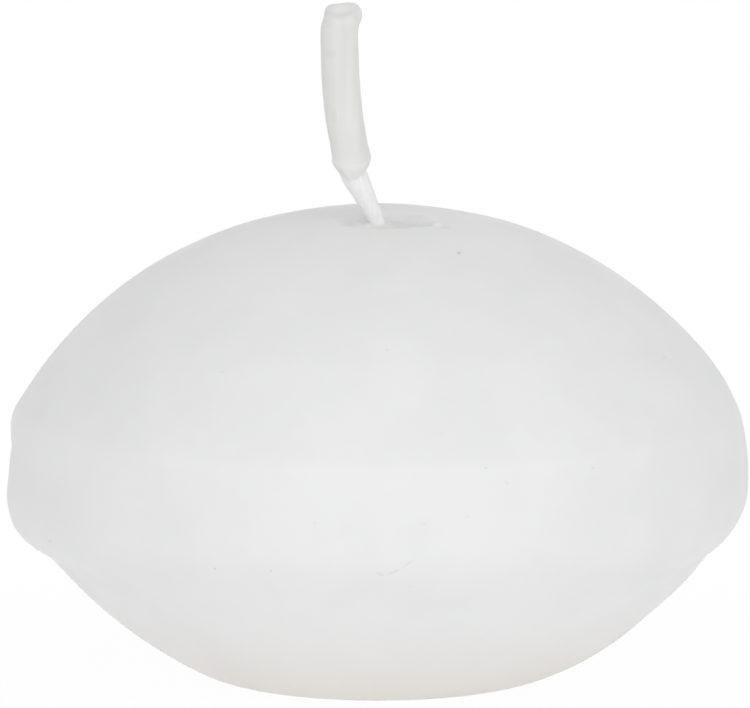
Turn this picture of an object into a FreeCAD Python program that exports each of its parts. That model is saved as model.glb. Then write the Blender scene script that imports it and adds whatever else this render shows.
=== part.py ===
# Floating candle: a pressed and over-dipped paraffin lens with a leaning cotton wick.
# Millimetres, +Z up, origin on the axis of the body at the plane of its flat base.
import FreeCAD, Part
import math
import os

import Sketcher

# Driving dimensions: alias, value, what it measures.
# The body is stacked from bowl, corner, band and dome, and the wick's line is shared by all that holds it.
SIZES = (
    ("body_diameter", 45.0, "widest diameter of the wax body"),
    ("base_flat_diameter", 16.0, "flat that the body rests on"),
    ("foot_radius", 7.6, "round from the base flat into the bowl"),
    ("foot_angle", 27.5, "slope where the foot passes into the flank, degrees"),
    ("bowl_height", 8.25, "base plane up to the crease"),
    ("crease_depth", 2.1, "crease in from the widest diameter"),
    ("crease_fillet", 0.5, "wax left in the crease by the dip"),
    ("corner_height", 3.2, "crease up to the widest diameter"),
    ("band_height", 5.0, "widest diameter up to the upper edge of the band"),
    ("band_radius", 29.0, "barrel of the band"),
    ("dome_height", 12.35, "upper edge of the band up to the top of the crown"),
    ("crown_radius", 28.0, "roundness of the crown"),
    ("crown_diameter", 17.8, "circle where the crown passes into the shoulder"),
    ("dimple_diameter", 5.6, "sink mark round the wick"),
    ("dimple_depth", 0.7, "depth of the sink mark"),
    ("dimple_fillet", 1.0, "soft rim of the sink mark"),
    ("wick_offset", 0.5, "wick line to the right of the body axis"),
    ("wick_lean", 4.8, "lean of the wick line to the front, degrees"),
    ("wick_diameter", 1.2, "bare braid where it leaves the wax"),
    ("wick_swell_diameter", 1.75, "braid where the wax coat starts"),
    ("channel_clearance", 0.05, "between the braid and its channel"),
    ("kink_depth", 0.6, "start of the first bend below the sink mark"),
    ("kink_radius", 1.8, "first bend of the wick"),
    ("kink_angle", 32.6, "heading after the first bend, degrees off the wick's line"),
    ("kink_run", 2.18, "straight stretch after the first bend"),
    ("return_radius", 4.0, "second bend of the wick"),
    ("coat_angle", 8.9, "heading after the second bend, degrees"),
    ("coat_run", 2.77, "straight stretch after the second bend"),
    ("tip_radius", 29.5, "third bend of the wick"),
    ("tip_angle", -3.5, "heading after the third bend, degrees"),
    ("tip_run", 0.8, "straight stretch at the tip"),
    ("coat_thickness", 0.255, "wax coat on the upper wick"),
    ("coat_clearance", 0.02, "between the braid and the coat"),
    ("coat_bevel_width", 0.2, "lower shoulder of the coat, across"),
    ("coat_bevel_length", 0.7, "lower shoulder of the coat, along"),
    ("coat_tip_fillet", 0.2, "rounded upper edge of the coat"),
    ("sustainer_diameter", 10.0, "tinplate disc under the wick"),
    ("sustainer_sheet", 0.25, "sheet thickness of the disc and its collar"),
    ("sustainer_recess", 0.45, "depth of the disc's seat in the base"),
    ("sustainer_clearance", 0.15, "between the disc and its seat, all round"),
    ("collar_height", 3.2, "crimped collar above the disc"),
    ("collar_flare", 0.35, "collar wider at its root, on the radius"),
    ("collar_clearance", 0.05, "between the collar and the wax"),
)

# Sizes that several pieces share, worked out from the sheet
BODY_TOP = "(Sizes.bowl_height + Sizes.corner_height + Sizes.band_height + Sizes.dome_height)"
WICK_FORWARD = "(" + BODY_TOP + " * tan(Sizes.wick_lean * 1deg))"
SURFACE = (
    "(" + BODY_TOP + " - Sizes.crown_radius"
    " + sqrt(Sizes.crown_radius^2 - Sizes.wick_offset^2 - " + WICK_FORWARD + "^2))"
)
BEND_START = (
    "((" + SURFACE + " - Sizes.dimple_depth) / cos(Sizes.wick_lean * 1deg) - Sizes.kink_depth)"
)
DISC_UNDERSIDE = "(Sizes.sustainer_recess - Sizes.sustainer_sheet)"
COLLAR_FOOT = "(Sizes.sustainer_recess - Sizes.sustainer_sheet / 2)"
COLLAR_TOP = "(Sizes.sustainer_recess + Sizes.collar_height)"
THIN_WICK = "(Sizes.wick_diameter / 2)"
FULL_WICK = "(Sizes.wick_swell_diameter / 2)"
WICK_HOLE = "(Sizes.wick_diameter / 2 + Sizes.channel_clearance)"
COAT_BORE = "(Sizes.wick_swell_diameter / 2 + Sizes.coat_clearance)"
COAT_SKIN = "(" + COAT_BORE + " + Sizes.coat_thickness)"
DIMPLE_BALL = (
    "(((Sizes.dimple_diameter / 2)^2 + Sizes.dimple_depth^2) / (2 * Sizes.dimple_depth))"
)

# Position codes of the points of a sketch element, in the sketcher's order
START, END, CENTRE = range(1, 4)
ORIGIN = (-1, START)
FULL_TURN = 360.0
HALF_TURN = 180.0
RIGHT_ANGLE = 90.0
# Room by which a cutting shape passes the face that it opens
OVERRUN = 1.0
# Distance below which a point counts as lying on a surface
CLOSE = 0.001

doc = FreeCAD.newDocument("floating_candle")
sheet = doc.addObject("Spreadsheet::Sheet", "Sizes")


def fill_sheet():
    """Write each driving dimension with its alias and its meaning."""
    for row, (alias, value, meaning) in enumerate(SIZES, start=1):
        sheet.set("A%d" % row, alias)
        sheet.set("B%d" % row, str(value))
        sheet.set("C%d" % row, meaning)
        sheet.setAlias("B%d" % row, alias)
    doc.recompute()


def size(expression):
    """Value of an alias, or of an expression on the sheet, as a plain number."""
    if "Sizes." not in expression:
        expression = "Sizes." + expression
    value = sheet.evalExpression(expression)
    return float(value.Value) if hasattr(value, "Value") else float(value)


def vec(x, y, z=0.0):
    """Short form of a vector."""
    return FreeCAD.Vector(x, y, z)


def new_body(label):
    """One sub-part of the candle, named after its node."""
    body = doc.addObject("PartDesign::Body", label)
    body.Label = label
    body.Placement = FreeCAD.Placement()
    return body


def new_sketch(body, name, role):
    """Sketch on one of the body's own origin planes, found by its role."""
    plane = next(item for item in body.Origin.OriginFeatures if item.Role == role)
    sketch = body.newObject("Sketcher::SketchObject", name)
    sketch.AttachmentSupport = [(plane, "")]
    sketch.MapMode = "FlatFace"
    return sketch


def lean_to_wick_line(sketch):
    """Turn a sketch on the XZ plane so that its vertical axis is the wick's line."""
    lean = FreeCAD.Rotation(vec(1.0, 0.0), size("wick_lean"))
    sketch.AttachmentOffset = FreeCAD.Placement(vec(size("wick_offset"), 0.0), lean)
    sketch.setExpression("AttachmentOffset.Base.x", "Sizes.wick_offset")
    sketch.setExpression("AttachmentOffset.Rotation.Angle", "Sizes.wick_lean * 1deg")


def relate(sketch, kind, *terms):
    """Add a geometric relation to a sketch."""
    sketch.addConstraint(Sketcher.Constraint(kind, *terms))


def constrain(sketch, name, expression, *terms):
    """Add a dimension to a sketch and bind it to the sheet."""
    value = size(expression)
    if terms[0] == "Angle":
        value = math.radians(value)
    index = sketch.addConstraint(Sketcher.Constraint(*terms, value))
    sketch.renameConstraint(index, name)
    sketch.setExpression("Constraints." + name, expression)


def across(sketch, name, expression, element, position):
    """Distance of a point from the sketch's vertical axis."""
    constrain(sketch, name, expression, "DistanceX", *ORIGIN, element, position)


def above(sketch, name, expression, element, position):
    """Height of a point above the sketch's horizontal axis."""
    constrain(sketch, name, expression, "DistanceY", *ORIGIN, element, position)


def chain(sketch, points):
    """Closed outline of straight edges through some points."""
    count = len(points)
    edges = [line(points[i], points[(i + 1) % count]) for i in range(count)]
    sketch.addGeometry(edges, False)
    for index in range(count):
        relate(sketch, "Coincident", index, END, (index + 1) % count, START)


def line(start, end):
    """Straight stretch between two points of a sketch."""
    return Part.LineSegment(vec(*start), vec(*end))


def arc(centre, radius, start, end):
    """Arc of a circle, its angles in degrees, counter-clockwise."""
    circle = Part.Circle(vec(*centre), vec(0.0, 0.0, 1.0), radius)
    return Part.ArcOfCircle(circle, math.radians(start), math.radians(end))


def polar(centre, radius, angle):
    """Point at an angle, in degrees, on a circle."""
    turn = math.radians(angle)
    return (centre[0] + radius * math.cos(turn), centre[1] + radius * math.sin(turn))


def bearing(centre, point):
    """Angle in degrees of a point seen from a centre."""
    return math.degrees(math.atan2(point[1] - centre[1], point[0] - centre[0]))


def centre_through(start, inward, end):
    """Centre of the arc that leaves start square to the inward direction and reaches end."""
    normal = polar((0.0, 0.0), 1.0, inward)
    chord = (end[0] - start[0], end[1] - start[1])
    radius = (chord[0] ** 2 + chord[1] ** 2) / (2.0 * (chord[0] * normal[0] + chord[1] * normal[1]))
    return (start[0] + radius * normal[0], start[1] + radius * normal[1]), radius


def circle_on_base(sketch, expression):
    """Circle round the foot of the wick's line, in a level sketch."""
    centre = vec(size("wick_offset"), 0.0)
    sketch.addGeometry(Part.Circle(centre, vec(0.0, 0.0, 1.0), size(expression)), False)
    relate(sketch, "Horizontal", *ORIGIN, 0, CENTRE)
    across(sketch, "offset", "Sizes.wick_offset", 0, CENTRE)
    constrain(sketch, "radius", expression, "Radius", 0)


def cut_checked(feature):
    """Recompute after a cut and refuse one that took nothing away."""
    before = feature.BaseFeature.Shape.Volume
    doc.recompute()
    if not feature.Shape.Volume < before:
        raise ValueError(feature.Name + " removes nothing")
    return feature


def edges_at(shape, point, reach):
    """Names of the edges that pass within reach of a point."""
    probe = Part.Vertex(point)
    numbered = enumerate(shape.Edges, start=1)
    return ["Edge%d" % number for number, edge in numbered if edge.distToShape(probe)[0] < reach]


def rims_at(shape, point, reach):
    """Names of the closed edges whose middle lies within reach of a point."""
    numbered = enumerate(shape.Edges, start=1)
    return [
        "Edge%d" % number
        for number, edge in numbered
        if edge.isClosed() and (edge.CenterOfMass - point).Length < reach
    ]


def rim_on_ball(shape, centre, radius, clear):
    """Names of the edges on a ball-shaped hollow that keep clear of the hole at its bottom."""
    lowest = centre - vec(0.0, 0.0, radius)
    names = []
    for number, edge in enumerate(shape.Edges, start=1):
        ends = [vertex.Point for vertex in edge.Vertexes]
        on_ball = all(abs((end - centre).Length - radius) < CLOSE for end in ends)
        if on_ball and all((end - lowest).Length > clear for end in ends):
            names.append("Edge%d" % number)
    return names


def round_edges(body, name, base, edges, alias):
    """Fillet the named edges with a radius from the sheet."""
    fillet = body.newObject("PartDesign::Fillet", name)
    fillet.Base = (base, edges)
    fillet.setExpression("Radius", "Sizes." + alias)
    doc.recompute()
    return fillet


def turn_profile(body, kind, name, profile):
    """Revolve a sketch about its own vertical axis, to add wax or metal or to cut it."""
    feature = body.newObject("PartDesign::" + kind, name)
    feature.Profile = profile
    feature.ReferenceAxis = (profile, ["V_Axis"])
    feature.Angle = FULL_TURN
    doc.recompute()
    return feature


# Wick line, followed by the channel, the wick and its coat


def add_wick_path(body):
    """Centre line of the wick: four straight runs joined by three tangent bends."""
    sketch = new_sketch(body, body.Name + "_path", "XZ_Plane")
    lean_to_wick_line(sketch)
    bends = (("kink", "kink"), ("return", "coat"), ("tip", "tip"))
    point = (0.0, size(BEND_START))
    elements = [line((0.0, size(DISC_UNDERSIDE)), point)]
    heading = 0.0
    joints = []
    for bend, stretch in bends:
        radius = size(bend + "_radius")
        target = size(stretch + "_angle")
        leftward = target > heading
        away = HALF_TURN if leftward else 0.0
        centre = polar(point, radius, heading + away)
        first = heading + HALF_TURN - away
        last = target + HALF_TURN - away
        elements.append(arc(centre, radius, min(first, last), max(first, last)))
        point = polar(centre, radius, last)
        end = polar(point, size(stretch + "_run"), target + RIGHT_ANGLE)
        elements.append(line(point, end))
        joints.append((START, END) if leftward else (END, START))
        point = end
        heading = target
    sketch.addGeometry(elements, False)

    relate(sketch, "Vertical", *ORIGIN, 0, START)
    relate(sketch, "Vertical", 0)
    above(sketch, "foot", DISC_UNDERSIDE, 0, START)
    above(sketch, "bend", BEND_START, 0, END)
    for step, ((bend, stretch), (entry, leave)) in enumerate(zip(bends, joints)):
        curve = 2 * step + 1
        run = curve + 1
        relate(sketch, "Tangent", curve - 1, END, curve, entry)
        relate(sketch, "Tangent", curve, leave, run, START)
        constrain(sketch, bend + "_radius", "Sizes.%s_radius" % bend, "Radius", curve)
        constrain(sketch, stretch + "_run", "Sizes.%s_run" % stretch, "Distance", run)
        steep = "90deg + Sizes.%s_angle * 1deg" % stretch
        constrain(sketch, stretch + "_angle", steep, "Angle", run)
    doc.recompute()
    return sketch


# Edges of that path, in their order
CHANNEL_EDGES = ["Edge1", "Edge2", "Edge3"]
LOWER_EDGES = ["Edge1", "Edge2"]
SWELL_EDGES = ["Edge3", "Edge4"]
COATED_EDGES = ["Edge5", "Edge6", "Edge7"]


def ring_on_path(body, path, edge, name, expression):
    """Circle square to the start of one edge of the path."""
    sketch = body.newObject("Sketcher::SketchObject", body.Name + "_" + name)
    sketch.AttachmentSupport = [(path, edge)]
    sketch.MapMode = "NormalToEdge"
    sketch.MapPathParameter = 0.0
    circle = Part.Circle(vec(0.0, 0.0), vec(0.0, 0.0, 1.0), size(expression))
    sketch.addGeometry(circle, False)
    relate(sketch, "Coincident", 0, CENTRE, *ORIGIN)
    constrain(sketch, "radius", expression, "Radius", 0)
    doc.recompute()
    return sketch


def sweep(body, kind, name, profile, path, edges, sections=()):
    """Sweep a circle along some edges of the path, towards further circles if there are any."""
    pipe = body.newObject("PartDesign::" + kind, body.Name + "_" + name)
    pipe.Profile = profile
    pipe.Spine = (path, edges)
    if sections:
        pipe.Transformation = "Multisection"
        pipe.Sections = [(section, [""]) for section in sections]
    doc.recompute()
    return pipe


# Wax body


def body_section(body):
    """Half section of the body: base flat, foot, flank, corner, band, shoulder and crown."""
    sketch = new_sketch(body, "body_section", "XZ_Plane")
    base = size("base_flat_diameter") / 2.0
    foot = size("foot_radius")
    foot_centre = (base, foot)
    foot_end = size("foot_angle") - RIGHT_ANGLE
    knee = polar(foot_centre, foot, foot_end)
    crease = (size("body_diameter") / 2.0 - size("crease_depth"), size("bowl_height"))
    flank_centre, flank = centre_through(knee, foot_end + HALF_TURN, crease)

    widest = (size("body_diameter") / 2.0, size("bowl_height") + size("corner_height"))
    corner_centre, corner = centre_through(widest, HALF_TURN, crease)
    band = size("band_radius")
    band_centre = (widest[0] - band, widest[1])
    band_turn = math.degrees(math.asin(size("band_height") / band))
    brow = polar(band_centre, band, band_turn)

    top = size(BODY_TOP)
    crown = size("crown_radius")
    crown_centre = (0.0, top - crown)
    crown_end = math.degrees(math.acos(size("crown_diameter") / 2.0 / crown))
    neck = polar(crown_centre, crown, crown_end)
    shoulder_centre, shoulder = centre_through(neck, crown_end + HALF_TURN, brow)

    sketch.addGeometry(
        [
            line((0.0, 0.0), (base, 0.0)),
            arc(foot_centre, foot, -RIGHT_ANGLE, foot_end),
            arc(flank_centre, flank, foot_end, bearing(flank_centre, crease)),
            arc(corner_centre, corner, bearing(corner_centre, crease), 0.0),
            arc(band_centre, band, 0.0, band_turn),
            arc(shoulder_centre, shoulder, bearing(shoulder_centre, brow), crown_end),
            arc(crown_centre, crown, crown_end, RIGHT_ANGLE),
            line((0.0, top), (0.0, 0.0)),
            line(foot_centre, knee),
        ],
        False,
    )
    flat, foot, flank, corner, band, shoulder, crown, axis, foot_spoke = range(9)
    sketch.toggleConstruction(foot_spoke)

    relate(sketch, "Coincident", flat, START, *ORIGIN)
    relate(sketch, "Horizontal", flat)
    relate(sketch, "Tangent", flat, END, foot, START)
    relate(sketch, "Tangent", foot, END, flank, START)
    relate(sketch, "Coincident", flank, END, corner, START)
    relate(sketch, "Horizontal", corner, CENTRE, corner, END)
    relate(sketch, "Tangent", corner, END, band, START)
    relate(sketch, "Coincident", band, END, shoulder, START)
    relate(sketch, "Tangent", shoulder, END, crown, START)
    relate(sketch, "Coincident", crown, END, axis, START)
    relate(sketch, "Vertical", *ORIGIN, crown, CENTRE)
    relate(sketch, "Vertical", axis)
    relate(sketch, "Coincident", axis, END, flat, START)
    relate(sketch, "Coincident", foot_spoke, START, foot, CENTRE)
    relate(sketch, "Coincident", foot_spoke, END, foot, END)

    across(sketch, "flat_out", "Sizes.base_flat_diameter / 2", flat, END)
    constrain(sketch, "foot_round", "Sizes.foot_radius", "Radius", foot)
    constrain(sketch, "foot_slope", "Sizes.foot_angle * 1deg - 90deg", "Angle", foot_spoke)
    across(sketch, "crease_out", "Sizes.body_diameter / 2 - Sizes.crease_depth", flank, END)
    above(sketch, "crease_up", "Sizes.bowl_height", flank, END)
    across(sketch, "widest_out", "Sizes.body_diameter / 2", corner, END)
    above(sketch, "widest_up", "Sizes.bowl_height + Sizes.corner_height", corner, END)
    constrain(sketch, "band_round", "Sizes.band_radius", "Radius", band)
    above(sketch, "brow_up", BODY_TOP + " - Sizes.dome_height", band, END)
    above(sketch, "crown_up", BODY_TOP, crown, END)
    constrain(sketch, "crown_round", "Sizes.crown_radius", "Radius", crown)
    across(sketch, "neck_out", "Sizes.crown_diameter / 2", crown, START)
    doc.recompute()
    return sketch


def add_lens(body):
    """The turned lens, with a little wax left in its crease."""
    lens = turn_profile(body, "Revolution", "lens", body_section(body))
    out = size("body_diameter") / 2.0 - size("crease_depth")
    crease = edges_at(lens.Shape, vec(out, 0.0, size("bowl_height")), size("crease_fillet") / 4.0)
    rims = [name for name in crease if lens.Shape.getElement(name).isClosed()]
    round_edges(body, "crease", lens, rims, "crease_fillet")


def cut_sustainer_seat(body):
    """Shallow round seat in the base for the tinplate disc."""
    sketch = new_sketch(body, "seat_circle", "XY_Plane")
    circle_on_base(sketch, "Sizes.sustainer_diameter / 2 + Sizes.sustainer_clearance")
    seat = body.newObject("PartDesign::Pocket", "sustainer_seat")
    seat.Profile = sketch
    seat.Reversed = True
    seat.setExpression("Length", "Sizes.sustainer_recess")
    cut_checked(seat)


def collar_outline(body, name, gap):
    """Outside of the leaning collar, or of the hole for it where a clearance is given."""
    sketch = new_sketch(body, name, "XZ_Plane")
    lean_to_wick_line(sketch)
    grow = " + Sizes." + gap if gap else ""
    tip = WICK_HOLE + " + Sizes.sustainer_sheet" + grow
    root = tip + " + Sizes.collar_flare"
    high = COLLAR_TOP + grow
    foot_height = size(COLLAR_FOOT)
    top_height = size(high)
    corners = [(0.0, foot_height), (size(root), foot_height), (size(tip), top_height)]
    chain(sketch, corners + [(0.0, top_height)])
    relate(sketch, "Horizontal", 0)
    relate(sketch, "Horizontal", 2)
    relate(sketch, "Vertical", *ORIGIN, 0, START)
    relate(sketch, "Vertical", *ORIGIN, 3, START)
    across(sketch, "root", root, 1, START)
    across(sketch, "tip", tip, 2, START)
    above(sketch, "low", COLLAR_FOOT, 0, START)
    above(sketch, "high", high, 2, START)
    return sketch


def cut_collar_hole(body):
    """Hole in the wax that the collar of the sustainer fills."""
    outline = collar_outline(body, "collar_hole_outline", "collar_clearance")
    before = body.Tip.Shape.Volume
    hole = turn_profile(body, "Groove", "collar_hole", outline)
    if not hole.Shape.Volume < before:
        raise ValueError("collar_hole removes nothing")


def cut_channel(body):
    """Channel that the wick fills, bent at its mouth as the wick is."""
    path = add_wick_path(body)
    ring = ring_on_path(body, path, "Edge1", "channel_ring", WICK_HOLE)
    cut_checked(sweep(body, "SubtractivePipe", "channel", ring, path, CHANNEL_EDGES))


def cut_dimple(body):
    """Sink mark round the wick: a shallow ball-shaped hollow with a soft rim."""
    dimple = body.newObject("PartDesign::SubtractiveSphere", "dimple")
    dimple.setExpression("Radius", DIMPLE_BALL)
    dimple.setExpression("Placement.Base.x", "Sizes.wick_offset")
    dimple.setExpression("Placement.Base.y", "-" + WICK_FORWARD)
    dimple.setExpression("Placement.Base.z", SURFACE + " - Sizes.dimple_depth + " + DIMPLE_BALL)
    cut_checked(dimple)
    clear = size("dimple_diameter") / 4.0
    edges = rim_on_ball(dimple.Shape, dimple.Placement.Base, dimple.Radius.Value, clear)
    round_edges(body, "dimple_rim", dimple, edges, "dimple_fillet")


def make_wax_body():
    """Paraffin lens with its band, crease, sink mark, wick channel and sustainer seat."""
    body = new_body("wax_body")
    add_lens(body)
    cut_sustainer_seat(body)
    cut_collar_hole(body)
    cut_channel(body)
    cut_dimple(body)
    return body


# Wick, its coat and its sustainer


def make_wick():
    """Braided cotton wick: thin in the wax, swelling to its full size under the coat."""
    body = new_body("wick")
    path = add_wick_path(body)
    foot = ring_on_path(body, path, "Edge1", "foot_ring", THIN_WICK)
    sweep(body, "AdditivePipe", "lower", foot, path, LOWER_EDGES)
    neck = ring_on_path(body, path, "Edge3", "neck_ring", THIN_WICK)
    swell = ring_on_path(body, path, "Edge5", "swell_ring", FULL_WICK)
    sweep(body, "AdditivePipe", "swell", neck, path, SWELL_EDGES, [swell])
    upper = ring_on_path(body, path, "Edge5", "upper_ring", FULL_WICK)
    sweep(body, "AdditivePipe", "upper", upper, path, COATED_EDGES)
    return body


def make_wick_coat():
    """Wax sleeve on the upper wick, bevelled at its lower end and rounded at the tip."""
    body = new_body("wick_coat")
    path = add_wick_path(body)
    skin = ring_on_path(body, path, "Edge5", "skin_ring", COAT_SKIN)
    sleeve = sweep(body, "AdditivePipe", "sleeve", skin, path, COATED_EDGES)
    near = size(FULL_WICK)
    lower_end = end_of_run(path, COATED_EDGES[0], first=True)
    bevel = body.newObject("PartDesign::Chamfer", "coat_shoulder")
    bevel.Base = (sleeve, rims_at(sleeve.Shape, lower_end, near))
    bevel.ChamferType = "Two distances"
    bevel.setExpression("Size", "Sizes.coat_bevel_width")
    bevel.setExpression("Size2", "Sizes.coat_bevel_length")
    doc.recompute()
    tip = end_of_run(path, COATED_EDGES[-1], first=False)
    round_edges(body, "coat_tip", bevel, rims_at(bevel.Shape, tip, near), "coat_tip_fillet")
    hollow = ring_on_path(body, path, "Edge5", "bore_ring", COAT_BORE)
    cut_checked(sweep(body, "SubtractivePipe", "bore", hollow, path, COATED_EDGES))
    return body


def end_of_run(path, edge, first):
    """First or last point of one edge of the path."""
    found = path.Shape.getElement(edge)
    vertex = found.firstVertex(True) if first else found.lastVertex(True)
    return vertex.Point


def bore_outline(body):
    """Inside of the collar, from below the disc to past its crimped tip."""
    sketch = new_sketch(body, "bore_outline", "XZ_Plane")
    lean_to_wick_line(sketch)
    mouth = WICK_HOLE + " + Sizes.collar_flare"
    foot_height = size(COLLAR_FOOT)
    top_height = size(COLLAR_TOP)
    wide = size(mouth)
    grip = size(WICK_HOLE)
    under = foot_height - OVERRUN
    over = top_height + OVERRUN
    corners = [(0.0, under), (wide, under), (wide, foot_height)]
    corners += [(grip, top_height), (grip, over), (0.0, over)]
    chain(sketch, corners)
    relate(sketch, "Horizontal", 0)
    relate(sketch, "Vertical", 1)
    relate(sketch, "Vertical", 3)
    relate(sketch, "Horizontal", 4)
    relate(sketch, "Vertical", *ORIGIN, 0, START)
    relate(sketch, "Vertical", *ORIGIN, 5, START)
    across(sketch, "mouth", mouth, 2, START)
    above(sketch, "low", COLLAR_FOOT, 2, START)
    across(sketch, "grip", WICK_HOLE, 3, START)
    above(sketch, "high", COLLAR_TOP, 3, START)
    relate(sketch, "DistanceY", 1, START, 1, END, OVERRUN)
    relate(sketch, "DistanceY", 3, START, 3, END, OVERRUN)
    return sketch


def make_sustainer():
    """Stamped tinplate disc with a collar crimped round the foot of the wick."""
    body = new_body("wick_sustainer")
    outline = new_sketch(body, "disc_circle", "XY_Plane")
    outline.setExpression("AttachmentOffset.Base.z", DISC_UNDERSIDE)
    circle_on_base(outline, "Sizes.sustainer_diameter / 2")
    disc = body.newObject("PartDesign::Pad", "disc")
    disc.Profile = outline
    disc.setExpression("Length", "Sizes.sustainer_sheet")
    doc.recompute()
    collar = turn_profile(body, "Revolution", "collar", collar_outline(body, "collar_outline", ""))
    bore = turn_profile(body, "Groove", "collar_bore", bore_outline(body))
    if not bore.Shape.Volume < collar.Shape.Volume:
        raise ValueError("collar_bore removes nothing")
    return body


def check_document(nodes):
    """Stop on a failed object or on a sub-part that isn't one valid solid."""
    for item in doc.Objects:
        if "Invalid" in item.State or "Error" in item.State:
            raise ValueError(item.Label + " failed: " + ", ".join(item.State))
    for node in nodes:
        if node.Shape.isNull() or not node.Shape.isValid() or len(node.Shape.Solids) != 1:
            raise ValueError(node.Label + " isn't one valid solid")


def write_parts(nodes):
    """Write each sub-part to the file that bears its name."""
    os.makedirs("parts", exist_ok=True)
    for node in nodes:
        node.Shape.exportStep("parts/%s.step" % node.Label)
        print("%-16s %10.3f mm3" % (node.Label, node.Shape.Volume))


fill_sheet()
sub_parts = [make_wax_body(), make_wick(), make_wick_coat(), make_sustainer()]
doc.recompute()
check_document(sub_parts)
write_parts(sub_parts)
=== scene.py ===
"""Looks of the floating candle: over-dipped wax lens, waxed and braided wick, tinplate sustainer.

Sizes are millimetres and angles radians in the row frame, unless a line says otherwise.
"""

import logging
import math
from dataclasses import dataclass, field
from enum import Enum
from typing import ClassVar

import bmesh
import bpy
import numpy as np
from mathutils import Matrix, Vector

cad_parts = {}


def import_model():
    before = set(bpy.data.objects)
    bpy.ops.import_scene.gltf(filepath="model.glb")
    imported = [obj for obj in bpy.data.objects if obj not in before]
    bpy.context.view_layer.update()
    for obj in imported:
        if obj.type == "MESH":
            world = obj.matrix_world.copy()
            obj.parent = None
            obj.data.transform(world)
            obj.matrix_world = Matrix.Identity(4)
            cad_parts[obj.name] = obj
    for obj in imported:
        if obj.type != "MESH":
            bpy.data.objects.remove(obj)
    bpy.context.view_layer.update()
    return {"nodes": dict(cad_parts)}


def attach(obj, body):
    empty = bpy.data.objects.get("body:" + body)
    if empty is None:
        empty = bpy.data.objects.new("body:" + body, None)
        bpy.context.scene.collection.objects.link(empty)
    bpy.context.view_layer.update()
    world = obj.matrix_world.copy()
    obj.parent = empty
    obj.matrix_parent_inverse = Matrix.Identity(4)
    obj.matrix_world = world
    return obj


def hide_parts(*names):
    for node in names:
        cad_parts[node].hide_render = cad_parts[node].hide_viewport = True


MM = 0.001
FULL_TURN = 2.0 * math.pi
LOG = logging.getLogger("candle")

Colour = tuple[float, float, float]
Point = tuple[float, float, float]
Pair = tuple[float, float]
Socket = bpy.types.NodeSocket

WHITE: Colour = (1.0, 1.0, 1.0)
# Sockets of a mix node of colours: its factor, its two colours and its result
MIX_FACTOR, MIX_FIRST, MIX_SECOND, MIX_RESULT = 0, 6, 7, 2


class Closing(Enum):
    """How a skin of rings is closed."""

    LOOPED = "last ring joined to the first"
    CAPPED = "one face over each end"


class Flank(Enum):
    """Side of the body, as the angle of its middle."""

    LEFT = math.pi
    RIGHT = 0.0


class Winding(Enum):
    """Direction in which a yarn winds round the wick."""

    LEFT = -1.0
    RIGHT = 1.0


class MarkKind(Enum):
    """How a mark in the wax shows."""

    SPECK = "speck"
    SCRATCH = "scratch"
    # Real stains on the body; on the coat's tip, its pale cut end with painted light
    STAIN_AND_PAINTED_LIGHT = "stain"
    # Painted shade in the sink mark and at the chip
    PAINTED_SHADE = "hollow"
    FIRM = "firm"


class Join(Enum):
    """Math by which two factors become one."""

    LARGER = "MAXIMUM"
    PRODUCT = "MULTIPLY"


class Mapping(Enum):
    """Whether a mapping moves the points that it reads or the texture that it lays."""

    POINT = "POINT"
    TEXTURE = "TEXTURE"


# Curves and waves


def smooth_step(low: float, high: float, value: np.ndarray) -> np.ndarray:
    """Soft rise from 0 at low to 1 at high, or fall where high is below low."""
    t = np.clip((value - low) / (high - low), 0.0, 1.0)
    return t * t * (3.0 - 2.0 * t)


def bell(value: np.ndarray, middle: float, width: float) -> np.ndarray:
    """Bell curve of height 1."""
    return np.exp(-(((value - middle) / width) ** 2))


def turned(angle: np.ndarray, middle: float) -> np.ndarray:
    """Signed difference between angles and a middle one, within half a turn."""
    return (angle - middle + math.pi) % FULL_TURN - math.pi


def facing(angle: np.ndarray, middle: float, width: float) -> np.ndarray:
    """Bell curve of height 1 round a middle angle."""
    return bell(turned(angle, middle), 0.0, width)


def spread(count: int) -> np.ndarray:
    """Angles of points spread evenly round a ring."""
    return np.linspace(0.0, FULL_TURN, count, endpoint=False)


@dataclass(frozen=True)
class Wave:
    """Wave over two measures of a surface: its height, its rate along each, and its start."""

    height: float
    first: float
    second: float = 0.0
    start: float = 0.0

    def at(self, one: np.ndarray, other: np.ndarray) -> np.ndarray:
        """Height of the wave at two measures."""
        return self.height * np.sin(self.first * one + self.second * other + self.start)


def rippled(
    waves: tuple[Wave, ...], one: np.ndarray, other: np.ndarray, level: np.ndarray
) -> np.ndarray:
    """Level with waves added to it.

    Args:
        waves: The waves.
        one: First measure, such as the angle round the piece.
        other: Second measure, such as the length along it.
        level: What the waves are added to.

    Returns:
        The level with its waves.
    """
    for wave in waves:
        level = level + wave.at(one, other)
    return level


def crossed(waves: tuple[Wave, Wave], one: np.ndarray, other: np.ndarray) -> np.ndarray:
    """Product of two waves, which leaves scattered bumps and dips."""
    return waves[0].at(one, other) * waves[1].at(one, other)


# Node graphs


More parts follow.
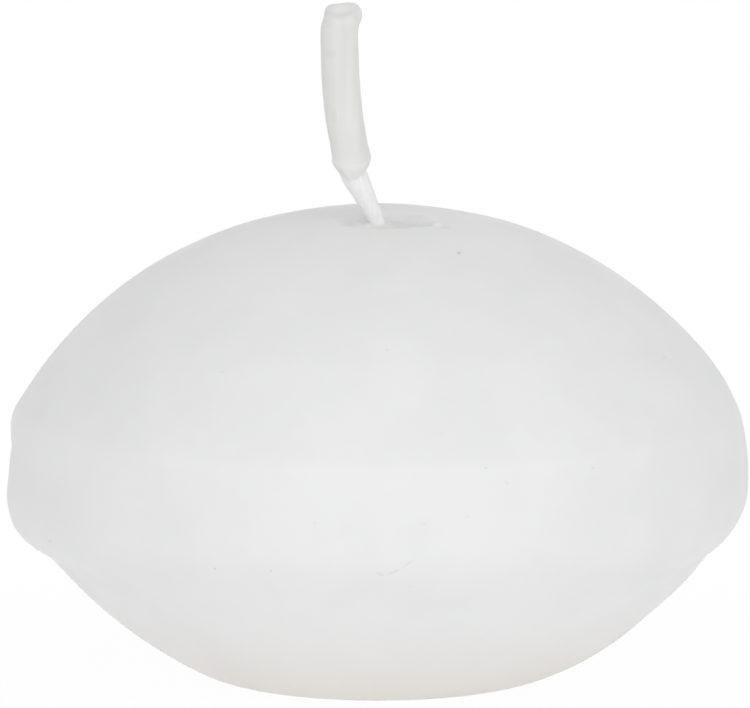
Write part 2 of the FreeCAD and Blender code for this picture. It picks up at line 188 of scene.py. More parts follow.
class Graph:
    """Node tree of a material or the world, with short calls for the nodes that they share."""

    def __init__(self, owner: bpy.types.Material | bpy.types.World, output: str) -> None:
        """Start an empty tree.

        Args:
            owner: Material or world that holds the tree.
            output: Type of its output node.
        """
        owner.use_nodes = True
        self.owner = owner
        self.tree = owner.node_tree
        self.tree.nodes.clear()
        self.output = self.add(output)

    @classmethod
    def of_material(cls, name: str) -> "Graph":
        """Empty tree of a new material."""
        return cls(bpy.data.materials.new(name), "ShaderNodeOutputMaterial")

    def add(self, kind: str, **settings: object) -> bpy.types.Node:
        """Add a node and set its properties.

        Args:
            kind: Type of the node.
            settings: Values of its properties, by name.

        Returns:
            The node.
        """
        node = self.tree.nodes.new(kind)
        for name, value in settings.items():
            setattr(node, name, value)
        return node

    def link(self, source: Socket, target: Socket) -> None:
        """Connect two sockets."""
        self.tree.links.new(source, target)

    def feed(self, target: Socket, value: Socket | Colour | float) -> None:
        """Give a socket its value.

        Args:
            target: The socket.
            value: Another socket, a colour or a number.
        """
        if isinstance(value, Socket):
            self.link(value, target)
        elif isinstance(value, tuple) and target.type == "RGBA":
            target.default_value = (*value, 1.0)
        else:
            target.default_value = value

    def surface(self, source: Socket) -> None:
        """Show a shader."""
        self.link(source, self.output.inputs["Surface"])

    def place(self) -> Socket:
        """Object coordinates, in metres, which are the row frame's."""
        return self.add("ShaderNodeTexCoord").outputs["Object"]

    def axes(self, vector: Socket) -> dict[str, Socket]:
        """Parts of a vector.

        Args:
            vector: Vector socket.

        Returns:
            Its X, Y and Z sockets, by name.
        """
        node = self.add("ShaderNodeSeparateXYZ")
        self.link(vector, node.inputs[0])
        return {axis: node.outputs[axis] for axis in "XYZ"}

    def length(self, vector: Socket) -> Socket:
        """Length of a vector.

        Args:
            vector: Vector socket.

        Returns:
            The length's socket.
        """
        node = self.add("ShaderNodeVectorMath", operation="LENGTH")
        self.link(vector, node.inputs[0])
        return node.outputs["Value"]

    def mapped(
        self,
        scale: Point,
        turn: Point = (0.0, 0.0, 0.0),
        at: Point = (0.0, 0.0, 0.0),
        way: Mapping = Mapping.POINT,
    ) -> Socket:
        """Object coordinates stretched, turned and moved.

        Args:
            scale: Stretch along each axis.
            turn: Euler angles.
            at: Shift, in metres.
            way: What the mapping moves.

        Returns:
            The vector socket.
        """
        node = self.add("ShaderNodeMapping", vector_type=way.value)
        node.inputs["Location"].default_value = at
        node.inputs["Rotation"].default_value = turn
        node.inputs["Scale"].default_value = scale
        self.link(self.place(), node.inputs["Vector"])
        return node.outputs["Vector"]

    def noise(
        self, cells: float, detail: float, rough: float = 0.5, at: Socket | None = None
    ) -> Socket:
        """Noise in space.

        Args:
            cells: Cells per metre.
            detail: Octaves.
            rough: Weight of the finer octaves.
            at: Vector socket; object coordinates if left out.

        Returns:
            The factor socket.
        """
        node = self.add("ShaderNodeTexNoise")
        node.inputs["Scale"].default_value = cells
        node.inputs["Detail"].default_value = detail
        node.inputs["Roughness"].default_value = rough
        self.link(self.place() if at is None else at, node.inputs["Vector"])
        return node.outputs["Fac"]

    def span(
        self, source: Socket, low: float, high: float, first: Socket | float, last: Socket | float
    ) -> Socket:
        """Soft change from one level to another while a source crosses a range.

        Args:
            source: Factor socket.
            low: Where the range starts.
            high: Where it ends.
            first: Level up to its start.
            last: Level from its end.

        Returns:
            The level's socket.
        """
        node = self.add("ShaderNodeMapRange", interpolation_type="SMOOTHSTEP")
        self.link(source, node.inputs["Value"])
        named = {"From Min": low, "From Max": high, "To Min": first, "To Max": last}
        for name, value in named.items():
            self.feed(node.inputs[name], value)
        return node.outputs["Result"]

    def blend(self, factor: Socket, first: Socket | Colour, second: Socket | Colour) -> Socket:
        """Colour between two.

        Args:
            factor: Share of the second.
            first: Colour or its socket.
            second: Colour or its socket.

        Returns:
            The colour socket.
        """
        node = self.add("ShaderNodeMix", data_type="RGBA")
        self.link(factor, node.inputs[MIX_FACTOR])
        self.feed(node.inputs[MIX_FIRST], first)
        self.feed(node.inputs[MIX_SECOND], second)
        return node.outputs[MIX_RESULT]

    def joined(self, join: Join, first: Socket, second: Socket | float) -> Socket:
        """Two factors made one.

        Args:
            join: The math.
            first: Factor socket.
            second: Factor socket or number.

        Returns:
            The factor socket.
        """
        node = self.add("ShaderNodeMath", operation=join.value)
        self.link(first, node.inputs[0])
        self.feed(node.inputs[1], second)
        return node.outputs["Value"]

    def bump(self, height: Socket, relief: float, under: Socket | None = None) -> Socket:
        """Bump from a height socket.

        Args:
            height: Factor socket.
            relief: Height of a full step, in millimetres.
            under: Normal socket of another bump below this one.

        Returns:
            The normal socket.
        """
        node = self.add("ShaderNodeBump")
        node.inputs["Distance"].default_value = relief * MM
        node.inputs["Strength"].default_value = 1.0
        self.link(height, node.inputs["Height"])
        if under is not None:
            self.link(under, node.inputs["Normal"])
        return node.outputs["Normal"]

    def seen(self) -> Socket:
        """Factor that is 1 for camera, glossy and transmission rays.

        Returns:
            The factor socket.
        """
        path = self.add("ShaderNodeLightPath").outputs
        total = self.joined(Join.LARGER, path["Is Camera Ray"], path["Is Glossy Ray"])
        return self.joined(Join.LARGER, total, path["Is Transmission Ray"])

    def shader(self, **sockets: Socket | Colour | float) -> None:
        """Show a principled shader.

        Args:
            sockets: Values of its sockets, by name, with underscores for spaces.
        """
        node = self.add("ShaderNodeBsdfPrincipled")
        for name, value in sockets.items():
            self.feed(node.inputs[name.replace("_", " ")], value)
        self.surface(node.outputs["BSDF"])


# Finishes


@dataclass(frozen=True)
class Mark:
    """One small mark in the wax, as an ellipsoid in which it shows.

    Attributes:
        kind: How it shows.
        place: Its middle.
        length: Half its length, from left to right.
        width: Half its width, up and down.
        strength: Share of its colour in the middle.
        tilt: Slope of its length, in degrees.
        reach: Half its extent from front to back.
        core: Share of its size in which it has its full strength.
    """

    kind: MarkKind
    place: Point
    length: float
    width: float
    strength: float
    tilt: float = 0.0
    reach: float = 1.5
    core: float = 0.25

    def mask(self, graph: Graph) -> Socket:
        """Factor that is the mark's strength inside it and falls off to 0.

        Args:
            graph: The finish's node tree.

        Returns:
            The factor socket.
        """
        at = tuple(value * MM for value in self.place)
        scale = (self.length * MM, self.reach * MM, self.width * MM)
        turn = (0.0, -math.radians(self.tilt), 0.0)
        far = graph.length(graph.mapped(scale, turn, at, Mapping.TEXTURE))
        return graph.span(far, self.core, 1.0, self.strength, 0.0)


@dataclass(frozen=True)
class WaxFinish:
    """Over-dipped paraffin: satin, faintly cloudy, of another tone at its foot.

    Attributes:
        name: Name of the material.
        colour: Tone of the wax.
        cloud: Tone of its faint clouds.
        foot: Tone at its foot; on the body, a painted warm reflection of the floor with painted
            shade.
        stain: Tone of its stains; on the coat, its pale cut end with painted light that brightens
            the top face.
        mark: Tone of its specks and scratches.
        roughness: Mean roughness.
        scatter: Share of the light that goes under the surface.
        depth: How deep that light goes.
        ripple: Height of the slow waves in the dip.
        grain: Height of the fine grain.
        foot_height: Height over which the foot's tone fades out.
        foot_from: Height at which the foot is.
        hollow: Tone of the painted shade in the sink mark and at the chip, where there is some.
        streak: Tone of lengthwise streaks, where there are some.
        marks: The marks in it.
        cut: Depth of the specks and scratches.
    """

    name: str
    colour: Colour
    cloud: Colour
    foot: Colour
    stain: Colour
    mark: Colour
    roughness: float
    scatter: float
    depth: float
    ripple: float
    grain: float
    foot_height: float
    foot_from: float = 0.0
    hollow: Colour | None = None
    streak: Colour | None = None
    marks: tuple[Mark, ...] = ()
    cut: float = 0.02
    # Cells of each noise, per metre
    cloud_cells: ClassVar[float] = 170.0
    streak_cells: ClassVar[float] = 1100.0
    shade_blotch_cells: ClassVar[float] = 1500.0
    ripple_cells: ClassVar[float] = 110.0
    grain_cells: ClassVar[float] = 1500.0
    gloss_cells: ClassVar[float] = 260.0
    # Share by which the streaks' cells are stretched along the wick
    streak_stretch: ClassVar[float] = 0.07

    def masks(self, graph: Graph, *kinds: MarkKind) -> Socket | None:
        """Strongest of the marks of some kinds.

        Args:
            graph: The finish's node tree.
            kinds: The kinds.

        Returns:
            The factor socket, or None where there is no such mark.
        """
        total = None
        for mark in self.marks:
            if mark.kind in kinds:
                mask = mark.mask(graph)
                total = mask if total is None else graph.joined(Join.LARGER, total, mask)
        return total

    def ground(self, graph: Graph) -> Socket:
        """Colour of the wax without its marks.

        Args:
            graph: The finish's node tree.

        Returns:
            The colour socket.
        """
        cloud = graph.span(graph.noise(self.cloud_cells, 3.0, 0.55), 0.38, 0.66, 0.0, 1.0)
        colour = graph.blend(cloud, self.colour, self.cloud)
        if self.streak is not None:
            lengthwise = graph.mapped((1.0, 1.0, self.streak_stretch))
            streaks = graph.noise(self.streak_cells, 3.0, 0.6, lengthwise)
            colour = graph.blend(graph.span(streaks, 0.34, 0.64, 0.0, 1.0), self.streak, colour)
        # Foot tone that fades out with height; on the body a painted warm floor reflection with
        # painted shade
        height = graph.axes(graph.place())["Z"]
        fade = (self.foot_from * MM, (self.foot_from + self.foot_height) * MM)
        return graph.blend(graph.span(height, *fade, 1.0, 0.0), colour, self.foot)

    def marked(self, graph: Graph, colour: Socket, cut: Socket | None) -> Socket:
        """Colour of the wax with its marks.

        Args:
            graph: The finish's node tree.
            colour: Colour without them.
            cut: Mask of the specks and scratches.

        Returns:
            The colour socket.
        """
        # Painted shade in the sink mark and at the chip, broken into blotches by noise
        hollow = self.masks(graph, MarkKind.PAINTED_SHADE)
        if hollow is not None:
            shade_blotches = graph.span(graph.noise(self.shade_blotch_cells, 4.0, 0.62), 0.4, 0.6, 0.55, 1.0)
            colour = graph.blend(graph.joined(Join.PRODUCT, hollow, shade_blotches), colour, self.hollow)
        # Stains; on the coat's tip, the pale cut end with painted light on the top face
        stain = self.masks(graph, MarkKind.STAIN_AND_PAINTED_LIGHT)
        if stain is not None:
            colour = graph.blend(stain, colour, self.stain)
        return colour if cut is None else graph.blend(cut, colour, self.mark)

    def relief(self, graph: Graph, cut: Socket | None) -> Socket:
        """Normal with the waves and grain of the dip and the cuts in it.

        Args:
            graph: The finish's node tree.
            cut: Mask of the specks and scratches.

        Returns:
            The normal socket.
        """
        waves = graph.bump(graph.noise(self.ripple_cells, 2.0, 0.45), self.ripple)
        fine = graph.bump(graph.noise(self.grain_cells, 3.0, 0.6), self.grain, waves)
        if cut is None:
            return fine
        return graph.bump(graph.joined(Join.PRODUCT, cut, -1.0), self.cut, fine)

    def material(self) -> bpy.types.Material:
        """Build the material.

        Returns:
            The material.
        """
        graph = Graph.of_material(self.name)
        cut = self.masks(graph, MarkKind.SPECK, MarkKind.SCRATCH)
        colour = self.marked(graph, self.ground(graph), cut)
        # No light goes under the surface in the narrow corners round the wick
        firm = self.masks(graph, MarkKind.FIRM)
        scatter = self.scatter if firm is None else graph.span(firm, 0.0, 1.0, self.scatter, 0.0)
        gloss = graph.noise(self.gloss_cells, 4.0)
        graph.shader(
            Base_Color=colour,
            Roughness=graph.span(gloss, 0.3, 0.7, self.roughness - 0.05, self.roughness + 0.06),
            Normal=self.relief(graph, cut),
            IOR=1.44,
            Specular_IOR_Level=0.3,
            Subsurface_Weight=scatter,
            Subsurface_Radius=(1.0, 0.93, 0.86),
            Subsurface_Scale=self.depth * MM,
        )
        return graph.owner


@dataclass(frozen=True)
class BraidFinish:
    """Cotton yarn soaked in wax: lengthwise fibres, paler on the raised yarns.

    Attributes:
        name: Name of the material.
        colour: Tone of the fibres.
        shade: Tone between them.
        roughness: Mean roughness.
        fibre: Height of the fibres.
    """

    name: str
    colour: Colour
    shade: Colour
    roughness: float
    fibre: float
    # Cells of each noise, per metre, and the stretch of the fibres' along the wick
    fibre_cells: ClassVar[float] = 9000.0
    fibre_stretch: ClassVar[float] = 0.09
    blotch_cells: ClassVar[float] = 900.0

    def material(self) -> bpy.types.Material:
        """Build the material.

        Returns:
            The material.
        """
        graph = Graph.of_material(self.name)
        lengthwise = graph.mapped((1.0, 1.0, self.fibre_stretch))
        fibres = graph.noise(self.fibre_cells, 3.0, 0.65, lengthwise)
        blotch = graph.noise(self.blotch_cells, 2.0)
        graph.shader(
            Base_Color=graph.blend(
                graph.span(fibres, 0.3, 0.68, 0.0, 1.0), self.shade, self.colour
            ),
            Roughness=graph.span(blotch, 0.3, 0.7, self.roughness - 0.1, self.roughness + 0.1),
            Normal=graph.bump(fibres, self.fibre),
            IOR=1.45,
            Specular_IOR_Level=0.4,
            Sheen_Weight=0.2,
            Sheen_Roughness=0.5,
        )
        return graph.owner


@dataclass(frozen=True)
class TinplateFinish:
    """Rolled tinplate, dull and finely scored, with a few dark handling smudges.

    Attributes:
        name: Name of the material.
        colour: Tone of the clean metal.
        dull: Tone of the smudges.
        roughness: Mean roughness.
        score: Depth of the fine scores.
    """

    name: str
    colour: Colour
    dull: Colour
    roughness: float
    score: float = 0.006
    # Cells of each noise, per metre, and the slope and stretch of the scores
    score_cells: ClassVar[float] = 5200.0
    score_turn: ClassVar[Point] = (0.0, 0.0, 0.3)
    score_scale: ClassVar[Point] = (1.0, 0.04, 1.0)
    smudge_cells: ClassVar[float] = 420.0

    def material(self) -> bpy.types.Material:
        """Build the material.

        Returns:
            The material.
        """
        graph = Graph.of_material(self.name)
        scored = graph.mapped(self.score_scale, self.score_turn)
        scores = graph.noise(self.score_cells, 3.0, 0.6, scored)
        smudge = graph.span(graph.noise(self.smudge_cells, 4.0, 0.6), 0.36, 0.66, 0.0, 1.0)
        graph.shader(
            Base_Color=graph.blend(smudge, self.dull, self.colour),
            Metallic=1.0,
            Roughness=graph.span(scores, 0.3, 0.7, self.roughness - 0.08, self.roughness + 0.12),
            Normal=graph.bump(scores, self.score),
        )
        return graph.owner


# Meshes


@dataclass(frozen=True)
class Tube:
    """Closed skin through rings of equal count, one after another, in millimetres."""

    name: str
    rings: np.ndarray
    closing: Closing

    def faces(self) -> list[list[int]]:
        """Faces between the rings, and over the ends where they are capped.

        Returns:
            The corners of each face.
        """
        count, across = self.rings.shape[:2]
        index = np.arange(count * across).reshape(count, across)
        looped = self.closing is Closing.LOOPED
        rows = index if looped else index[:-1]
        following = np.roll(index, -1, axis=0) if looped else index[1:]
        corners = [rows, np.roll(rows, -1, axis=1), np.roll(following, -1, axis=1), following]
        faces = np.stack(corners, axis=-1).reshape(-1, 4).tolist()
        if self.closing is Closing.CAPPED:
            faces += [index[0][::-1].tolist(), index[-1].tolist()]
        return faces

    def object(self, sharp: float = 60.0) -> bpy.types.Object:
        """Make the skin, with its faces outward and smooth.

        Args:
            sharp: Angle in degrees above which an edge stays sharp.

        Returns:
            The new object, linked to the scene.
        """
        mesh = bpy.data.meshes.new(self.name)
        mesh.from_pydata((self.rings * MM).reshape(-1, 3).tolist(), [], self.faces())
        work = bmesh.new()
        work.from_mesh(mesh)
        bmesh.ops.recalc_face_normals(work, faces=work.faces)
        work.to_mesh(mesh)
        work.free()
        mesh.shade_smooth()
        mesh.set_sharp_from_angle(angle=math.radians(sharp))
        made = bpy.data.objects.new(self.name, mesh)
        bpy.context.scene.collection.objects.link(made)
        return made


def mount(piece: bpy.types.Object, node: str, material: bpy.types.Material) -> None:
    """Let a piece stand for a node, take its slot's finish and ride on the one body.

    Args:
        piece: The piece.
        node: Name of the solid's node.
        material: Its finish.
    """
    piece.data.materials.clear()
    piece.data.materials.append(material)
    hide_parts(node)
    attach(piece, "root")
    LOG.info("%s stands for %s with %d faces", piece.name, node, len(piece.data.polygons))


# Wick's line, which the body's channel follows too


@dataclass(frozen=True)
class Bend:
    """One bend of the wick: its radius, its new heading in degrees and the straight run after."""

    radius: float
    heading: float
    run: float


@dataclass
class WickLine:
    """Centre line of the wick in its leaning plane: straight runs and the bends between them.

    Attributes:
        offset: How far to the right of the axis it meets the base plane.
        lean: Slope of its plane to the front, in degrees.
        foot: Height at which it starts.
        drift: Heading of its straight part, in degrees to the left.
        straight: Height up to which that part goes.
        bends: The bends after it.
        step: Gap between its points.
        points: Its points.
        headings: Its heading at each.
        run: Length along it to each.
        neck_start: Length at which it leaves its first bend.
        coat_start: Length at which it leaves its second bend, where the coat starts.
    """

    offset: float = 0.5
    lean: float = 4.8
    foot: float = 0.2
    drift: float = 0.87
    straight: float = 27.69
    bends: tuple[Bend, ...] = (
        Bend(2.75, 26.2, 2.71),
        Bend(1.6, 8.6, 2.69),
        Bend(35.0, -3.3, 0.03),
    )
    step: float = 0.05
    points: np.ndarray = field(init=False)
    headings: np.ndarray = field(init=False)
    run: np.ndarray = field(init=False)
    neck_start: float = field(init=False)
    coat_start: float = field(init=False)

    def __post_init__(self) -> None:
        """Walk along the line and keep its lengths, headings and points."""
        heading = math.radians(self.drift)
        pieces = [(self.straight - self.foot, heading)]
        for bend in self.bends:
            target = math.radians(bend.heading)
            pieces += [(bend.radius * abs(target - heading), heading), (bend.run, target)]
            heading = target
        starts = np.cumsum([0.0] + [length for length, _ in pieces])
        self.neck_start, self.coat_start = float(starts[2]), float(starts[4])
        self.run = np.linspace(0.0, starts[-1], int(starts[-1] / self.step))
        self.headings = np.interp(self.run, starts, [first for _, first in pieces] + [heading])
        middle = 0.5 * (self.headings[1:] + self.headings[:-1])
        gap = np.diff(self.run)
        side = -np.concatenate([[0.0], np.cumsum(np.sin(middle) * gap)])
        up = self.foot + np.concatenate([[0.0], np.cumsum(np.cos(middle) * gap)])
        self.points = self.origin + side[:, None] * self.across + up[:, None] * self.along

    @property
    def origin(self) -> np.ndarray:
        """Where the leaning line meets the base plane."""
        return np.array([self.offset, 0.0, 0.0])

    @property
    def across(self) -> np.ndarray:
        """Sideways direction of the leaning plane."""
        return np.array([1.0, 0.0, 0.0])

    @property
    def along(self) -> np.ndarray:
        """Upward direction of the leaning plane."""
        lean = math.radians(self.lean)
        return np.array([0.0, -math.sin(lean), math.cos(lean)])

    @property
    def forward(self) -> np.ndarray:
        """Direction square to the leaning plane, to the front."""
        return np.cross(self.across, self.along)

    @property
    def length(self) -> float:
        """Length of the line."""
        return float(self.run[-1])

    def at_height(self, height: float) -> np.ndarray:
        """Point of the line at a height over the base plane."""
        return np.array([np.interp(height, self.points[:, 2], self.points[:, k]) for k in range(3)])

    def frame(self, s: np.ndarray) -> tuple[np.ndarray, np.ndarray, np.ndarray]:
        """Points and directions along the line.

        Args:
            s: Lengths along it.

        Returns:
            The points, the sideways directions and the tangents.
        """
        middle = np.stack([np.interp(s, self.run, self.points[:, k]) for k in range(3)], axis=-1)
        turn = np.interp(s, self.run, self.headings)
        side = np.cos(turn)[:, None] * self.across + np.sin(turn)[:, None] * self.along
        tangent = -np.sin(turn)[:, None] * self.across + np.cos(turn)[:, None] * self.along
        return middle, side, tangent

    def rings(self, s: np.ndarray, radius: np.ndarray) -> np.ndarray:
        """Rings round the line.

        Args:
            s: Length along the line of each ring.
            radius: Radius of each of the points in each ring.

        Returns:
            Points of each ring.
        """
        middle, side, _ = self.frame(s)
        turn = spread(radius.shape[1])
        out = np.cos(turn)[None, :, None] * side[:, None, :]
        out = out + np.sin(turn)[None, :, None] * self.forward
        return middle[:, None, :] + radius[:, :, None] * out


# Wax body


@dataclass
class LensProfile:
    """Half section of the body, from the neck of the crown down to the base.

    Attributes:
        radius: Radius of the body at its widest.
        base: Radius of the base flat.
        foot: Radius of the arc that leaves the base flat.
        foot_angle: Angle of that arc, in degrees.
        crease_in: How deep the crease is cut in under the band.
        crease_up: Height of the crease.
        corner: Height from the crease to the widest line.
        band: Height of the band over that line.
        barrel: Radius of the band's section.
        dome: Height of the dome over the band.
        crown: Radius of the crown's ball.
        neck: Radius at which the dome meets the crown.
        step: Gap between the points of the section.
        first_row: Length along the section of the first row.
        row_gap: Gap between rows at the corners, and what it grows by away from them.
        row_grows: Lengths from a corner between which it grows.
    """

    radius: float = 22.5
    base: float = 8.0
    foot: float = 7.6
    foot_angle: float = 27.5
    crease_in: float = 2.1
    crease_up: float = 8.25
    corner: float = 3.2
    band: float = 5.0
    barrel: float = 29.0
    dome: float = 12.35
    crown: float = 28.0
    neck: float = 8.9
    step: float = 0.02
    first_row: float = 0.12
    row_gap: Pair = (0.13, 0.25)
    row_grows: Pair = (0.8, 3.0)

    @property
    def top(self) -> float:
        """Height of the crown's top."""
        return self.crease_up + self.corner + self.band + self.dome

    def crown_height(self, out: np.ndarray) -> np.ndarray:
        """Height of the crown at a distance from the axis."""
        return self.top - self.crown + np.sqrt(self.crown**2 - out**2)

    @staticmethod
    def arc_to(start: np.ndarray, inward: float, end: np.ndarray, count: int) -> np.ndarray:
        """Arc that leaves its start square to a direction.

        Args:
            start: First point.
            inward: Direction from it to the arc's centre.
            end: Last point.
            count: How many points.

        Returns:
            The points.
        """
        normal = np.array([math.cos(inward), math.sin(inward)])
        chord = end - start
        radius = chord.dot(chord) / (2.0 * chord.dot(normal))
        centre = start + radius * normal
        first = math.atan2(*(start - centre)[::-1])
        last = math.atan2(*(end - centre)[::-1])
        turn = np.linspace(first, last, count)
        return centre + radius * np.stack([np.cos(turn), np.sin(turn)], axis=-1)

    def corners(self) -> dict[str, np.ndarray]:
        """Joints of the half section.

        Returns:
            The points, by name.
        """
        slope = math.radians(self.foot_angle)
        widest = self.crease_up + self.corner
        turn = math.asin(self.band / self.barrel)
        brow = self.radius - self.barrel * (1.0 - math.cos(turn))
        knee = (self.base + self.foot * math.sin(slope), self.foot * (1.0 - math.cos(slope)))
        return {
            "base": np.array([self.base, 0.0]),
            "knee": np.array(knee),
            "crease": np.array([self.radius - self.crease_in, self.crease_up]),
            "widest": np.array([self.radius, widest]),
            "brow": np.array([brow, widest + self.band]),
            "neck": np.array([self.neck, float(self.crown_height(np.array(self.neck)))]),
        }

    def line(self) -> np.ndarray:
        """Half section from neck to base, with its corners unblunted.

        Returns:
            Points a step apart.
        """
        at = self.corners()
        slope = math.radians(self.foot_angle)
        lean = math.acos(self.neck / self.crown)
        parts = [
            self.arc_to(at["neck"], lean + math.pi, at["brow"], 900),
            self.arc_to(at["widest"], math.pi, at["brow"], 300)[::-1],
            self.arc_to(at["widest"], math.pi, at["crease"], 300),
            self.arc_to(at["knee"], slope + math.pi / 2.0, at["crease"], 800)[::-1],
            self.arc_to(at["base"], math.pi / 2.0, at["knee"], 300)[::-1],
        ]
        points = np.concatenate([parts[0]] + [part[1:] for part in parts[1:]])
        run = np.concatenate([[0.0], np.cumsum(np.linalg.norm(np.diff(points, axis=0), axis=1))])
        even = np.arange(0.0, run[-1], self.step)
        return np.stack([np.interp(even, run, points[:, k]) for k in range(2)], axis=-1)

    def blunted(self, line: np.ndarray, width: float) -> np.ndarray:
        """Half section with its corners rounded by a moving average.

        Args:
            line: Points of the section.
            width: Width of the average.

        Returns:
            As many points.
        """
        reach = int(3.0 * width / self.step)
        weights = bell(np.arange(-reach, reach + 1) * self.step, 0.0, width * math.sqrt(2.0))
        weights /= weights.sum()
        ahead = 2.0 * line[0] - line[reach:0:-1]
        after = 2.0 * line[-1] - line[-2 : -reach - 2 : -1]
        longer = np.concatenate([ahead, line, after])
        return np.stack([np.convolve(longer[:, k], weights, "valid") for k in range(2)], axis=-1)

    def length_to(self, line: np.ndarray, corner: str) -> float:
        """Length along the section to one of its joints."""
        return np.argmin(np.linalg.norm(line - self.corners()[corner], axis=1)) * self.step

    def stations(self, line: np.ndarray) -> np.ndarray:
        """Where the rows lie along the half section, closer together at its corners.

        Args:
            line: Points of the section.

        Returns:
            Indices of the rows' points.
        """
        near = [self.length_to(line, corner) for corner in ("brow", "crease")]
        places, s = [], self.first_row
        while s < (len(line) - 1) * self.step:
            places.append(s)
            close = min(abs(s - near[0]), abs(s - near[1]))
            s += self.row_gap[0] + self.row_gap[1] * float(smooth_step(*self.row_grows, close))
        return (np.array(places) / self.step).astype(int)


@dataclass(frozen=True)
class SinkMark:
    """Hollow round the wick where the wax shrank, with its uneven rim and the wax that climbs.

    Attributes:
        middle: Its middle.
        reach: Its half length to the side and to the front.
        depth: Its depth.
        back_wall: Width of its wall at the back, as a share of its reach.
        front_wall: What the wall widens by at the front.
        brim: How far the wall goes on past the rim.
        wick_at: Where the wick leaves it.
        climbs: Height of the wax that climbs the wick all round it, and on its left.
        rim: Waves of its rim, over the angle and the share of its reach.
        floor: Waves of its floor, over the places to the side and to the front.
    """

    middle: Pair = (0.42, -3.1)
    reach: Pair = (2.9, 2.05)
    depth: float = 0.66
    back_wall: float = 0.24
    front_wall: float = 0.6
    brim: float = 0.06
    wick_at: Pair = (0.1, -2.38)
    climbs: Pair = (0.2, 0.12)
    rim: tuple[Wave, ...] = (
        Wave(0.035, 2.0, start=0.7),
        Wave(0.025, 5.0, start=2.1),
        Wave(0.014, 9.0),
    )
    floor: tuple[Wave, Wave] = (Wave(0.06, 5.2, 1.3), Wave(1.0, -2.0, 4.4))

    def climb(self, x: np.ndarray, y: np.ndarray) -> np.ndarray:
        """Height of the wax that climbs the wick, all round it and on its left.

        Args:
            x: Places to the right.
            y: Places to the back.

        Returns:
            Height at each place.
        """
        beside, behind = x - self.wick_at[0], y - self.wick_at[1]
        round_it = self.climbs[0] * bell(np.hypot(beside, behind), 0.3, 0.45)
        return round_it + self.climbs[1] * bell(beside, -0.9, 0.8) * bell(behind, 0.5, 1.3)

    def at(self, x: np.ndarray, y: np.ndarray) -> np.ndarray:
        """Depth of the hollow, with a steep wall at the back and a gentle one at the front.

        Args:
            x: Places to the right.
            y: Places to the back.

        Returns:
            Depth at each place.
        """
        dx, dy = x - self.middle[0], y - self.middle[1]
        along, deep = dx / self.reach[0], dy / self.reach[1]
        far, turn = np.hypot(along, deep), np.arctan2(deep, along)
        rim = rippled(self.rim, turn, far, 1.0)
        width = self.back_wall + self.front_wall * smooth_step(-0.2, 0.8, -deep)
        wall = 1.0 - smooth_step(0.0, 1.0, (far - rim + width) / (width + self.brim))
        bowl = 1.0 - 0.2 * smooth_step(0.2, 0.85, far)
        rough = crossed(self.floor, dx, dy)
        return self.depth * wall * (bowl + rough) - self.climb(x, y)


@dataclass(frozen=True)
class Chip:
    """Small crescent chip to the right of the sink mark, with the wax pushed up behind it.

    Attributes:
        middle: Its middle.
        bow: How strongly it is bowed.
        depth: Its depth.
        width: Its width across the bow.
        lip: Height of the wax behind it.
        lip_off: How far behind it that stands.
        lip_width: Width of that.
        ends: Lengths from the middle between which both fade out.
    """

    middle: Pair = (3.6, -3.55)
    bow: float = 0.22
    depth: float = 0.11
    width: float = 0.26
    lip: float = 0.06
    lip_off: float = 0.42
    lip_width: float = 0.2
    ends: tuple[Pair, Pair] = ((0.55, 0.95), (0.4, 0.9))

    def at(self, x: np.ndarray, y: np.ndarray) -> np.ndarray:
        """Depth of the chip.

        Args:
            x: Places to the right.
            y: Places to the back.

        Returns:
            Depth at each place.
        """
        dx, dy = x - self.middle[0], y - self.middle[1]
        off = dy - self.bow * dx * dx
        pit_shows, lip_shows = (1.0 - smooth_step(*ends, np.abs(dx)) for ends in self.ends)
        pit = bell(off, 0.0, self.width) * pit_shows
        lip = bell(off, self.lip_off, self.lip_width) * lip_shows
        return self.depth * pit - self.lip * lip


@dataclass(frozen=True)
class Swell:
    """Place where the dip lies thicker on one flank, or thinner where its rise is below 0."""

    flank: Flank
    height: float
    reach: float
    rise: float


